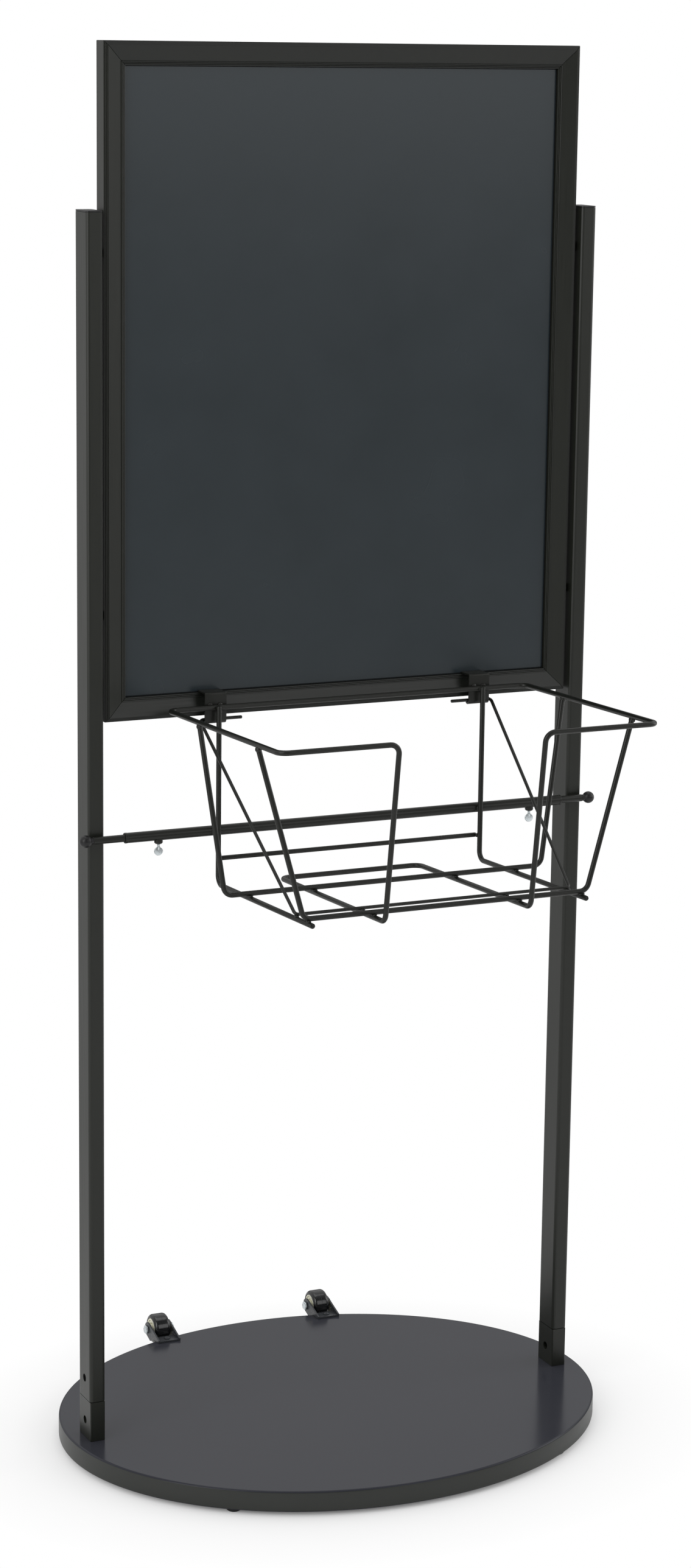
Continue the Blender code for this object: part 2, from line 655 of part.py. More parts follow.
def rail_mesh(name, length):
    """Extrude the rail and shear both ends to a mitre, so that each fibre loses its own inset."""
    mesh = extruded_mesh(name, [rail_profile()], -length / 2, length / 2)
    bm = bmesh.new()
    bm.from_mesh(mesh)
    for vert in bm.verts:
        reach = length / 2 - vert.co.x - MITRE_GAP
        vert.co.z = math.copysign(reach, vert.co.z)
    bm.to_mesh(mesh)
    bm.free()
    return mesh


def build_frame(mast):
    """Build the four mitred rails, their corner keys and the rivets to the posts."""
    low = FRAME_BOTTOM - POST_BOTTOM
    high = FRAME_TOP - POST_BOTTOM
    middle = (low + high) / 2
    half = FRAME_WIDTH / 2
    quarter = math.pi / 2
    rails = {}
    for name, length, place, turn in (
        ("left", FRAME_HEIGHT, (-half, 0, middle), 0),
        ("bottom", FRAME_WIDTH, (0, 0, low), -quarter),
        ("right", FRAME_HEIGHT, (half, 0, middle), 2 * quarter),
        ("top", FRAME_WIDTH, (0, 0, high), quarter),
    ):
        mesh = rail_mesh("rail_" + name, length)
        rails[name] = add_part("rail_" + name, mesh, BLACK_ALUMINIUM, mast, place, (0, turn, 0))
    slot_x = PANEL_HALF_WIDTH + SLIDE_GAP
    slot = box_mesh("slot", (-slot_x, -SLOT_HALF, high - 2 * RAIL_OUTER_WALL), (slot_x, SLOT_HALF, high * 2))
    combine(rails["top"], add_cutter("panel_slot", slot, mast), "DIFFERENCE")
    for side, sign in (("left", -1), ("right", 1)):
        for level, height in rivet_heights():
            hole = rod_mesh("rivet_hole", RIVET_RADIUS + HOLE_GAP, -RAIL_OUTER_WALL * 2, RAIL_OUTER_WALL * 2)
            place = (sign * half, 0, height - POST_BOTTOM)
            cutter = add_cutter("rail_rivet_" + level + "_" + side, hole, mast, place, ALONG_X)
            combine(rails[side], cutter, "DIFFERENCE")
            build_rivet(mast, level + "_" + side, sign, height - POST_BOTTOM)
        for level, sz, height in (("bottom", 1, low), ("top", -1, high)):
            build_corner_key(mast, level + "_" + side, -sign, sz, (sign * half, 0, height))


def build_rivet(mast, name, sign, height):
    """Build a spool rivet: head in the post, collar in the gap, head in the rail."""
    post_inside = POST_X - POST_WIDTH / 2 + POST_WALL + GAP
    post_face = POST_X - POST_WIDTH / 2 - GAP
    rail_face = FRAME_WIDTH / 2 + GAP
    rail_inside = FRAME_WIDTH / 2 - RAIL_OUTER_WALL - GAP
    profile = [
        (0, post_inside + RIVET_HEAD_HEIGHT),
        (RIVET_HEAD_RADIUS, post_inside + RIVET_HEAD_HEIGHT),
        (RIVET_HEAD_RADIUS, post_inside),
        (RIVET_RADIUS, post_inside),
        (RIVET_RADIUS, post_face),
        (RIVET_COLLAR_RADIUS, post_face),
        (RIVET_COLLAR_RADIUS, rail_face),
        (RIVET_RADIUS, rail_face),
        (RIVET_RADIUS, rail_inside),
        (RIVET_HEAD_RADIUS, rail_inside),
        (RIVET_HEAD_RADIUS, rail_inside - RIVET_HEAD_HEIGHT),
        (0, rail_inside - RIVET_HEAD_HEIGHT),
    ]
    turn = (0, sign * math.pi / 2, 0)
    add_turned("frame_rivet_" + name, profile, BLACK_POWDER, mast, (0, 0, height), turn, steps=SMALL_STEPS)


def build_corner_key(mast, name, sx, sz, corner):
    """Build a corner key: an L in each half of the channel, tied by a web behind the panel's edge."""
    near = RAIL_OUTER_WALL + GAP
    far = near + KEY_WIDTH
    web_far = RAIL_OUTER_WALL + PANEL_EDGE_ROOM - GAP
    deep = SLOT_HALF + GAP
    shallow = -max(OUTER_STEP_BASE, face_depth(far)) - RAIL_WALL - GAP
    outline = [(near, near), (KEY_ARM, near), (KEY_ARM, far), (far, far), (far, KEY_ARM), (near, KEY_ARM)]
    outline = [(sx * x, sz * z) for x, z in outline]
    if sx * sz < 0:
        outline.reverse()
    front = extruded_mesh("key", [outline], deep, shallow)
    key = add_part("corner_key_" + name, front, BLACK_PLASTIC, mast, corner, PROFILE_XZ)
    rear = extruded_mesh("key_rear", [outline], -shallow, -deep)
    combine(key, add_cutter("key_rear_" + name, rear, mast, corner, PROFILE_XZ), "UNION")
    ends = sorted((sx * near, sx * web_far)), sorted((sz * far / 2, sz * KEY_WEB_END))
    overlap = (deep + shallow) / 2
    web = box_mesh("key_web", (ends[0][0], -overlap, ends[1][0]), (ends[0][1], overlap, ends[1][1]))
    combine(key, add_cutter("key_web_" + name, web, mast, corner), "UNION")


def build_panel(panel):
    """Build the sign panel: a core with a face sheet on each side."""
    half_core = CORE_THICKNESS / 2
    sheet_near = half_core + GAP
    sheet_far = sheet_near + SHEET_THICKNESS
    for name, material, low_y, high_y in (
        ("front_face_sheet", SLATE_SHEET, -sheet_far, -sheet_near),
        ("panel_core", FOAM_CORE, -half_core, half_core),
        ("rear_face_sheet", SLATE_SHEET, sheet_near, sheet_far),
    ):
        sheet = box_mesh(name, (-PANEL_HALF_WIDTH, low_y, 0), (PANEL_HALF_WIDTH, high_y, PANEL_HEIGHT))
        add_part(name, sheet, material, panel)


def build_basket(basket):
    """Build the basket's bent wires, lengthwise wires below and crosswise wires on top of them."""
    rim_front_z = rim_height(RIM_FRONT_Y)
    gate_foot_z = floor_height(GATE_FOOT_Y)
    gate_back_z = floor_height(GATE_BACK_Y)
    left_half = [
        (-RIM_HALF_WIDTH, RIM_BACK_Y, RIM_Z),
        (-RIM_HALF_WIDTH, RIM_FRONT_Y, rim_front_z),
        (-GATE_HALF_TOP, RIM_FRONT_Y, rim_front_z),
        (-GATE_HALF_BOTTOM, GATE_FOOT_Y, gate_foot_z),
        (-GATE_HALF_BOTTOM, GATE_BACK_Y, gate_back_z),
    ]
    right_half = [(-x, y, z) for x, y, z in reversed(left_half)]
    add_wire("rim_wire", left_half + right_half, WIRE_RADIUS, basket, closed=True)

    on_floor = 2 * WIRE_RADIUS + GAP
    under_rim = WIRE_RADIUS + 1.5 * GAP
    for name, top_y, foot_y, foot_half in (
        ("rear_u_wire", REAR_U_TOP_Y, REAR_U_FOOT_Y, REAR_U_FOOT_HALF),
        ("front_u_wire", FRONT_U_TOP_Y, FRONT_U_FOOT_Y, FRONT_U_FOOT_HALF),
    ):
        top_z = rim_height(top_y) - under_rim
        foot_z = floor_height(foot_y) + on_floor
        half = [(-RIM_HALF_WIDTH, top_y, top_z), (-foot_half, foot_y, foot_z)]
        add_wire(name, half + [(-x, y, z) for x, y, z in reversed(half)], WIRE_RADIUS, basket)

    for side, sign in (("left", -1), ("right", 1)):
        x = sign * LEG_HALF
        leg = [
            (x, LEG_Y, RIM_Z + WIRE_RADIUS),
            (x, LEG_Y, floor_height(LEG_Y)),
            (x, LEG_FRONT_Y, floor_height(LEG_FRONT_Y)),
        ]
        add_wire("leg_wire_" + side, leg, WIRE_RADIUS, basket)
    back_z = RIM_Z - BACK_WIRE_DROP
    add_wire("back_wire", [(-LEG_HALF, BACK_WIRE_Y, back_z), (LEG_HALF, BACK_WIRE_Y, back_z)],
             BACK_WIRE_RADIUS, basket)

    brace_foot_z = floor_height(BRACE_FOOT_Y) + WIRE_RADIUS + BRACE_RADIUS + GAP
    brace_turn = LEG_HALF + HOOK_WIDTH / 2 + BRACE_BEND_RADIUS
    half = [
        (-(LEG_HALF - HOOK_WIDTH / 2 - BRACE_INBOARD), CURL_Y, CURL_Z),
        (-brace_turn, CURL_Y, CURL_Z),
        (-BRACE_FOOT_HALF, BRACE_FOOT_Y, brace_foot_z),
    ]
    add_wire("brace_wire", half + [(-x, y, z) for x, y, z in reversed(half)], BRACE_RADIUS, basket,
             BRACE_BEND_RADIUS)


def build_hooks(basket):
    """Build the sheet hooks: a flange on the rail, a front plate and a curl round the brace."""
    under = RAIL_FACE + GAP
    flange_end = -SLOT_HALF
    curl = (CURL_Y, CURL_Z)
    outer = HOOK_CURL_RADIUS + HOOK_SHEET
    profile = [(flange_end, under), (flange_end, under + HOOK_SHEET)]
    profile += arc((HOOK_FRONT_Y + HOOK_SHEET, under), HOOK_SHEET, 90, 180, HOOK_BEND_STEPS)
    profile += arc(curl, outer, 180, HOOK_CURL_END)
    profile += arc(curl, HOOK_CURL_RADIUS, HOOK_CURL_END, 180)
    profile += [(HOOK_BACK_Y, under)]
    profile.reverse()
    for side, sign in (("left", -1), ("right", 1)):
        mesh = extruded_mesh("hook", [profile], -HOOK_WIDTH / 2, HOOK_WIDTH / 2)
        add_part("hook_" + side, mesh, BLACK_POWDER, basket, (sign * LEG_HALF, 0, 0), PROFILE_YZ)


def build_bar(basket, rods, screws):
    """Build the stay bar's tube and screw collars, its rods with ball ends, and the thumb screws."""
    tube_profile = [
        (BAR_RADIUS, BAR_HALF_LENGTH),
        (BAR_RADIUS, -BAR_HALF_LENGTH),
        (BAR_BORE_RADIUS, -BAR_HALF_LENGTH),
        (BAR_BORE_RADIUS, BAR_HALF_LENGTH),
    ]
    tube = add_turned("bar_tube", tube_profile, BLACK_POWDER, basket, (0, BAR_Y, BAR_Z), ALONG_X, closed=True)
    bore_radius = SCREW_RADIUS + HOLE_GAP
    collar_profile = [
        (COLLAR_RADIUS, -BAR_RADIUS / 2),
        (COLLAR_RADIUS, -COLLAR_DROP + COLLAR_TAPER),
        (COLLAR_FOOT_RADIUS, -COLLAR_DROP),
        (bore_radius, -COLLAR_DROP),
        (bore_radius, -BAR_RADIUS / 2),
    ]
    for side, sign in (("left", -1), ("right", 1)):
        place = (sign * SCREW_HALF_SPACING, BAR_Y, BAR_Z)
        hole = rod_mesh("screw_hole", bore_radius, -2 * BAR_RADIUS, 0)
        combine(tube, add_cutter("screw_hole_" + side, hole, basket, place), "DIFFERENCE")
        collar = add_turned("bar_collar_" + side, collar_profile, BLACK_POWDER, basket, place, closed=True)
        saddle = rod_mesh("saddle", BAR_RADIUS + GAP, -2 * COLLAR_RADIUS, 2 * COLLAR_RADIUS)
        combine(collar, add_cutter("saddle_" + side, saddle, basket, place, ALONG_X), "DIFFERENCE")
        build_rod(rods[side], side, sign)
        build_thumb_screw(screws[side], side)


def build_rod(rod_frame, side, sign):
    """Build one sliding rod and the ball on its outer end, about the ball's middle."""
    neck_angle = math.asin(BALL_NECK_RADIUS / BALL_RADIUS)
    neck_end = BALL_RADIUS * math.cos(neck_angle) + BALL_NECK_LENGTH
    rod_end = neck_end + GAP
    rod = [
        (0, -rod_end),
        (ROD_RADIUS - ROD_CHAMFER, -rod_end),
        (ROD_RADIUS, -rod_end - ROD_CHAMFER),
        (ROD_RADIUS, -rod_end - ROD_LENGTH + ROD_CHAMFER),
        (ROD_RADIUS - ROD_CHAMFER, -rod_end - ROD_LENGTH),
        (0, -rod_end - ROD_LENGTH),
    ]
    turn = (0, sign * math.pi / 2, 0)
    add_turned("bar_rod_" + side, rod, BLACK_POWDER, rod_frame, (0, 0, 0), turn)
    ball = [(0, BALL_RADIUS)] + arc((0, 0), BALL_RADIUS, BALL_CROWN_ANGLE, math.degrees(neck_angle) - 90)
    ball += [(BALL_NECK_RADIUS, -neck_end), (0, -neck_end)]
    add_turned("bar_ball_" + side, ball, BLACK_PLASTIC, rod_frame, (0, 0, 0), turn)


def build_thumb_screw(screw_frame, side):
    """Build a thumb screw: a plain shank up to the rod and a flat spade head."""
    tip = -ROD_RADIUS - GAP
    shank_end = (SPADE_NECK_DROP + SPADE_DROP) / 2
    shank = [
        (0, tip),
        (SCREW_RADIUS, tip - GAP),
        (SCREW_RADIUS, -shank_end + SCREW_RADIUS),
        (SPADE_THICKNESS / 3, -shank_end),
        (0, -shank_end),
    ]
    screw = add_turned("thumb_screw_" + side, shank, ZINC_STEEL, screw_frame, steps=SMALL_STEPS)
    last_angle = 540 - SPADE_SHOULDER_ANGLE
    outline = [(-SPADE_NECK_HALF, -SPADE_NECK_DROP)]
    outline += arc((0, -SPADE_DROP), SPADE_RADIUS, SPADE_SHOULDER_ANGLE, last_angle, SPADE_STEPS)
    outline += [(SPADE_NECK_HALF, -SPADE_NECK_DROP)]
    spade = extruded_mesh("spade", [outline], -SPADE_THICKNESS / 2, SPADE_THICKNESS / 2)
    combine(screw, add_cutter("spade_" + side, spade, screw_frame, (0, 0, 0), PROFILE_XZ), "UNION")


def tyre_profile():
    """Give the tyre's section: a flat tread with round shoulders on a plain bore."""
    half = WHEEL_WIDTH / 2
    corner = (WHEEL_RADIUS - WHEEL_SHOULDER, half - WHEEL_SHOULDER)
    top = arc(corner, WHEEL_SHOULDER, 90, 0, SHOULDER_STEPS)
    bottom = [(r, -z) for r, z in reversed(top)]
    return [(TYRE_INNER_RADIUS, half)] + top + bottom + [(TYRE_INNER_RADIUS, -half)]


def hub_profile():
    """Give the hub's section: a rim inside the tyre, a thin web and a boss on the axle."""
    rim = TYRE_INNER_RADIUS - GAP
    rim_half = WHEEL_WIDTH / 2 - GAP
    boss_half = WHEEL_WIDTH / 2 + WHEEL_SIDE_GAP - GAP
    upper = [
        (HUB_BORE_RADIUS, boss_half),
        (HUB_BOSS_RADIUS, boss_half),
        (HUB_BOSS_RADIUS, HUB_WEB_HALF),
        (rim - HUB_RIM_WALL, HUB_WEB_HALF),
        (rim - HUB_RIM_WALL, rim_half),
        (rim, rim_half),
    ]
    return upper + [(r, -z) for r, z in reversed(upper)]


def build_fork(base, side, sign):
    """Build one pressed fork: a plate on the board, two ears round the axle, and its wood screw."""
    place = (sign * WHEEL_X, AXLE_Y, AXLE_Z)
    seat = BOARD_TOP + GAP - AXLE_Z
    ear = [(-FORK_TOE_LENGTH, seat), (-FORK_EAR_START, seat), (-FORK_HEEL_BACK, -FORK_HEEL_DROP)]
    ear += arc((0, 0), FORK_BOSS_RADIUS, -FORK_HEEL_ANGLE, FORK_EAR_ANGLE, FORK_EAR_STEPS)
    ear += [(-FORK_TOE_LENGTH, seat + FORK_TOE_HEIGHT)]
    block = extruded_mesh("fork", [ear], -FORK_OUTER_HALF, FORK_OUTER_HALF)
    fork = add_part("wheel_fork_" + side, block, BLACK_POWDER, base, place, PROFILE_YZ)
    past = 2 * FORK_TOE_LENGTH
    room = [
        (-past, seat + FORK_SHEET),
        (-FORK_PLATE_END, seat + FORK_SHEET),
        (-FORK_PLATE_END, -past),
        (past, -past),
        (past, past),
        (-past, past),
    ]
    room_mesh = extruded_mesh("wheel_room", [room], -FORK_INNER_HALF, FORK_INNER_HALF)
    combine(fork, add_cutter("wheel_room_" + side, room_mesh, base, place, PROFILE_YZ), "DIFFERENCE")
    bore = rod_mesh("axle_bore", AXLE_RADIUS + HOLE_GAP, -2 * FORK_OUTER_HALF, 2 * FORK_OUTER_HALF)
    combine(fork, add_cutter("axle_bore_" + side, bore, base, place, ALONG_X), "DIFFERENCE")
    hole = rod_mesh("screw_hole", FORK_SCREW_RADIUS + HOLE_GAP, seat - FORK_SHEET, seat + 2 * FORK_SHEET)
    hole_place = (place[0], place[1] - FORK_SCREW_BACK, place[2])
    combine(fork, add_cutter("fork_hole_" + side, hole, base, hole_place), "DIFFERENCE")

    head = BOARD_TOP + 2 * GAP + FORK_SHEET
    screw = [
        (0, head + FORK_SCREW_HEAD_HEIGHT),
        (FORK_SCREW_CROWN_RADIUS, head + FORK_SCREW_HEAD_HEIGHT),
        (FORK_SCREW_HEAD_RADIUS, head + FORK_SCREW_EDGE_HEIGHT),
        (FORK_SCREW_HEAD_RADIUS, head),
        (FORK_SCREW_RADIUS, head),
        (FORK_SCREW_RADIUS, BOARD_TOP - FORK_SCREW_LENGTH + FORK_SCREW_RADIUS),
        (0, BOARD_TOP - FORK_SCREW_LENGTH),
    ]
    screw_place = (hole_place[0], hole_place[1], 0)
    add_turned("fork_screw_" + side, screw, BLACK_POWDER, base, screw_place, steps=SMALL_STEPS)


def build_axle(base, side, sign):
    """Build the hex bolt that carries a wheel and the nut on its tail."""
    place = (sign * WHEEL_X, AXLE_Y, AXLE_Z)
    face = FORK_OUTER_HALF + GAP
    shank = rod_mesh("axle_bolt", AXLE_RADIUS, -face - AXLE_HEAD_HEIGHT / 2, face + AXLE_TAIL)
    bolt = add_part("axle_bolt_" + side, shank, ZINC_STEEL, base, place, ALONG_X)
    head = rod_mesh("axle_head", AXLE_HEAD_RADIUS, -face - AXLE_HEAD_HEIGHT, -face, HEX_SIDES)
    combine(bolt, add_cutter("axle_head_" + side, head, base, place, ALONG_X), "UNION")
    nut_mesh = rod_mesh("axle_nut", AXLE_HEAD_RADIUS, face, face + AXLE_HEAD_HEIGHT, HEX_SIDES)
    nut = add_part("axle_nut_" + side, nut_mesh, ZINC_STEEL, base, place, ALONG_X)
    bore = rod_mesh("nut_bore", AXLE_RADIUS + HOLE_GAP, 0, 2 * face)
    combine(nut, add_cutter("nut_bore_" + side, bore, base, place, ALONG_X), "DIFFERENCE")


def build_stand():
    """Set up the moving frames on their joints and build every piece on them."""
    base = add_frame("base_frame", None, (0, 0, 0))
    mast = add_frame("mast_frame", base, (0, 0, POST_BOTTOM))
    panel = add_frame("panel_frame", mast, (0, 0, PANEL_FOOT - POST_BOTTOM))
    basket = add_frame("basket_frame", mast, (BASKET_SHIFT, 0, FRAME_BOTTOM - POST_BOTTOM))
    ball_x = POST_X + POST_WIDTH / 2 + BALL_PAST_POST
    rods = {}
    screws = {}
    for side, sign in (("left", -1), ("right", 1)):
        rods[side] = add_frame("rod_frame_" + side, basket, (sign * ball_x - BASKET_SHIFT, BAR_Y, BAR_Z))
        screws[side] = add_frame("screw_frame_" + side, basket, (sign * SCREW_HALF_SPACING, BAR_Y, BAR_Z))
    build_board(base)
    build_glides(base)
    build_stubs(base)
    build_posts(mast)
    build_frame(mast)
    build_panel(panel)
    build_basket(basket)
    build_hooks(basket)
    build_bar(basket, rods, screws)
    for side, sign in (("left", -1), ("right", 1)):
        wheel = add_frame("wheel_frame_" + side, base, (sign * WHEEL_X, AXLE_Y, AXLE_Z))
        lathe = (wheel, (0, 0, 0), ALONG_X, True, FINE_STEPS)
        add_turned("wheel_tyre_" + side, tyre_profile(), TYRE_RUBBER, *lathe)
        add_turned("wheel_hub_" + side, hub_profile(), HUB_NYLON, *lathe)
        build_fork(base, side, sign)
        build_axle(base, side, sign)


def finish_shading():
    """Shade the curved pieces smooth and keep their real edges sharp."""
    for obj in PARTS.objects:
        if obj.type == "MESH" and obj.data.polygons:
            obj.data.shade_smooth()
            obj.data.set_sharp_from_angle(angle=SHARP_ANGLE)


build_stand()
finish_shading()
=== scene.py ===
"""Looks for a black floor sign stand: oval board, sleeve posts, panel frame, wire basket and tilt wheels."""
import logging
import math
import random
from dataclasses import dataclass, field
from enum import Enum
from typing import ClassVar, Iterable, Sequence

import bmesh
import bpy
from mathutils import Matrix, Vector


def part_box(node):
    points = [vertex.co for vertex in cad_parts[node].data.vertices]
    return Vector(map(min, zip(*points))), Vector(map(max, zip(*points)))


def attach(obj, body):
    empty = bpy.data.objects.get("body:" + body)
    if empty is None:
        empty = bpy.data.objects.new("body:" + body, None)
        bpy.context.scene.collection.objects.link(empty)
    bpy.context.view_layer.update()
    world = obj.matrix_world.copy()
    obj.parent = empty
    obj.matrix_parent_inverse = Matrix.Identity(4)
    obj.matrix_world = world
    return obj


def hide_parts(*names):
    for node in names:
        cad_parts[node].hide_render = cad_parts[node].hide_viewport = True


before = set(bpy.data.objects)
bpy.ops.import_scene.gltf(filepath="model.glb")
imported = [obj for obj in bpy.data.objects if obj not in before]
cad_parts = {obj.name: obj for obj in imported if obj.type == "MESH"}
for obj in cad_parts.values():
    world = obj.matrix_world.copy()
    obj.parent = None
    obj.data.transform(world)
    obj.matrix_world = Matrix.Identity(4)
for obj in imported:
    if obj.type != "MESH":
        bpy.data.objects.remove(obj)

LOG = logging.getLogger("sign_stand")
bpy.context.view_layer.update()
SMOOTH_ANGLE = math.radians(38)
MERGE = 2e-6
FULL_TURN = 2 * math.pi
MM_PER_M = 1000.0
WHITE = "#ffffff"

Points = list[tuple[float, float]]
Profile = Sequence[tuple[float, float]]
Triple = tuple[float, float, float]


class Side(Enum):
    """Left or right of the stand, seen from the front."""

    LEFT = -1
    RIGHT = 1

    @property
    def word(self) -> str:
        """Give the side's name as the CAD nodes spell it."""
        return self.name.lower()


class Run(Enum):
    """The axis that an extrusion or a turned piece runs along."""

    X = (1, 0, 0)
    Z = (0, 0, 1)

    @property
    def turn(self) -> Matrix:
        """Give the matrix that lays the local Z axis along this axis."""
        return Vector((0, 0, 1)).rotation_difference(Vector(self.value)).to_matrix().to_4x4()


def linear(hex_colour: str) -> tuple[float, float, float, float]:
    """Turn an sRGB hex colour into linear RGBA.

    Args:
        hex_colour: Colour such as "#2b2c2f".

    Returns:
        Linear red, green, blue and an alpha of 1.
    """
    channels = []
    for start in (1, 3, 5):
        value = int(hex_colour[start:start + 2], 16) / 255
        channels.append(value / 12.92 if value <= 0.04045 else ((value + 0.055) / 1.055) ** 2.4)
    return channels[0], channels[1], channels[2], 1.0


def per_mm(size_mm: float) -> float:
    """Give the texture scale whose features are about this many millimetres wide."""
    return MM_PER_M / size_mm


def add_node(tree: bpy.types.NodeTree, kind: str, settings: dict | None = None,
             links: dict | None = None) -> bpy.types.Node:
    """Add a node, set its properties and sockets, and link its inputs.

    Args:
        tree: Node tree that takes the node.
        kind: Blender's type name of the node.
        settings: Property names, or socket names or numbers, with their values.
        links: Input socket names or numbers, with the output sockets that feed them.

    Returns:
        The new node.
    """
    node = tree.nodes.new(kind)
    for key, value in (settings or {}).items():
        if isinstance(key, str) and hasattr(node, key):
            setattr(node, key, value)
        else:
            node.inputs[key].default_value = value
    for key, output in (links or {}).items():
        tree.links.new(output, node.inputs[key])
    return node


@dataclass(frozen=True)
class Finish:
    """A surface finish: what it is made of and how the eye sees it."""

    name: str
    slot: str
    colour: str
    pale: str
    roughness: float
    specular: float = 0.5
    metallic: float = 0.0
    relief: float = 0.25
    depth_mm: float = 0.05
    spread: float = 0.05
    pattern_range: ClassVar[tuple[float, float]] = (0.25, 0.75)

    def material(self) -> bpy.types.Material:
        """Give the finish's material, made the first time it is asked for.

        Returns:
            The material.
        """
        found = bpy.data.materials.get(self.name)
        if found:
            return found
        made = bpy.data.materials.new(self.name)
        made.use_nodes = True
        shader = made.node_tree.nodes["Principled BSDF"]
        shader.inputs["Base Color"].default_value = linear(self.colour)
        shader.inputs["Roughness"].default_value = self.roughness
        shader.inputs["Metallic"].default_value = self.metallic
        shader.inputs["Specular IOR Level"].default_value = self.specular
        self.dress(made.node_tree, shader)
        return made

    def dress(self, tree: bpy.types.NodeTree, shader: bpy.types.Node) -> None:
        """Add the finish's own pattern to its shader.

        Args:
            tree: The material's node tree.
            shader: Its Principled node.
        """

    def lay_skin(self, tree: bpy.types.NodeTree, shader: bpy.types.Node, raised: bpy.types.NodeSocket,
                 sheen: bpy.types.NodeSocket, tone: bpy.types.NodeSocket) -> None:
        """Let patterns that run from 0 to 1 shape the skin, its sheen and its tone.

        Args:
            tree: The material's node tree.
            shader: Its Principled node.
            raised: Pattern that stands out of the skin.
            sheen: Pattern that moves the roughness a little to both sides.
            tone: Pattern that blends the colour towards the pale one.
        """
        bump = add_node(tree, "ShaderNodeBump", {
            "Strength": self.relief, "Distance": self.depth_mm / MM_PER_M}, {"Height": raised})
        span = add_node(tree, "ShaderNodeMapRange", {
            "From Min": self.pattern_range[0], "From Max": self.pattern_range[1],
            "To Min": self.roughness - self.spread, "To Max": self.roughness + self.spread}, {"Value": sheen})
        blend = add_node(tree, "ShaderNodeMix", {
            "data_type": "RGBA", 6: linear(self.colour), 7: linear(self.pale)}, {0: tone})
        tree.links.new(bump.outputs["Normal"], shader.inputs["Normal"])
        tree.links.new(span.outputs["Result"], shader.inputs["Roughness"])
        tree.links.new(blend.outputs[2], shader.inputs["Base Color"])


@dataclass(frozen=True)
class PowderCoat(Finish):
    """Baked powder on steel: a satin skin with the faint orange peel of melted grains."""

    relief: float = 0.35
    depth_mm: float = 0.12
    peel_mm: float = 1.3
    cloud_mm: float = 38.0

    def dress(self, tree: bpy.types.NodeTree, shader: bpy.types.Node) -> None:
        """Add orange peel to the skin and slow clouds to its colour.

        Args:
            tree: The material's node tree.
            shader: Its Principled node.
        """
        place = add_node(tree, "ShaderNodeTexCoord").outputs["Object"]
        peel = add_node(tree, "ShaderNodeTexNoise", {"Scale": per_mm(self.peel_mm), "Detail": 2.0},
                        {"Vector": place}).outputs["Fac"]
        cloud = add_node(tree, "ShaderNodeTexNoise", {"Scale": per_mm(self.cloud_mm), "Detail": 3.0},
                         {"Vector": place}).outputs["Fac"]
        self.lay_skin(tree, shader, peel, peel, cloud)


@dataclass(frozen=True)
class AnodisedExtrusion(Finish):
    """Black anodised aluminium, drawn through a die: a dull sheen with hair lines along the run."""

    relief: float = 0.18
    depth_mm: float = 0.06
    spread: float = 0.06
    run: Run = Run.Z
    # Real die lines and oxide grit are several times finer; these are as coarse as they need to show.
    line_mm: float = 0.9
    grit_mm: float = 0.7
    grit_share: float = 0.5
    stretch: float = 0.012

    def dress(self, tree: bpy.types.NodeTree, shader: bpy.types.Node) -> None:
        """Add die lines along the run and the etched grit of the oxide.

        Args:
            tree: The material's node tree.
            shader: Its Principled node.
        """
        place = add_node(tree, "ShaderNodeTexCoord").outputs["Object"]
        squeeze = [self.stretch if along else 1.0 for along in self.run.value]
        drawn = add_node(tree, "ShaderNodeMapping", {"Scale": squeeze}, {"Vector": place}).outputs["Vector"]
        lines = add_node(tree, "ShaderNodeTexNoise", {"Scale": per_mm(self.line_mm), "Detail": 3.0},
                         {"Vector": drawn}).outputs["Fac"]
        grit = add_node(tree, "ShaderNodeTexNoise", {"Scale": per_mm(self.grit_mm), "Detail": 2.0},
                        {"Vector": place}).outputs["Fac"]
        rough = add_node(tree, "ShaderNodeMix", {0: self.grit_share}, {2: lines, 3: grit}).outputs[0]
        self.lay_skin(tree, shader, rough, lines, lines)


@dataclass(frozen=True)
class Laminate(Finish):
    """Pressed melamine on fibreboard: an even satin face with a fine pebble from the press plate."""

    relief: float = 0.22
    depth_mm: float = 0.08
    spread: float = 0.03
    # A press plate's pebble is about a third of this; it is as coarse as it needs to show.
    pebble_mm: float = 1.1
    cloud_mm: float = 70.0

    def dress(self, tree: bpy.types.NodeTree, shader: bpy.types.Node) -> None:
        """Add the press plate's pebble and a slow drift of tone.

        Args:
            tree: The material's node tree.
            shader: Its Principled node.
        """
        place = add_node(tree, "ShaderNodeTexCoord").outputs["Object"]
        pebble = add_node(tree, "ShaderNodeTexVoronoi", {
            "feature": "SMOOTH_F1", "Scale": per_mm(self.pebble_mm)}, {"Vector": place}).outputs["Distance"]
        cloud = add_node(tree, "ShaderNodeTexNoise", {"Scale": per_mm(self.cloud_mm), "Detail": 4.0},
                         {"Vector": place}).outputs["Fac"]
        self.lay_skin(tree, shader, pebble, cloud, cloud)


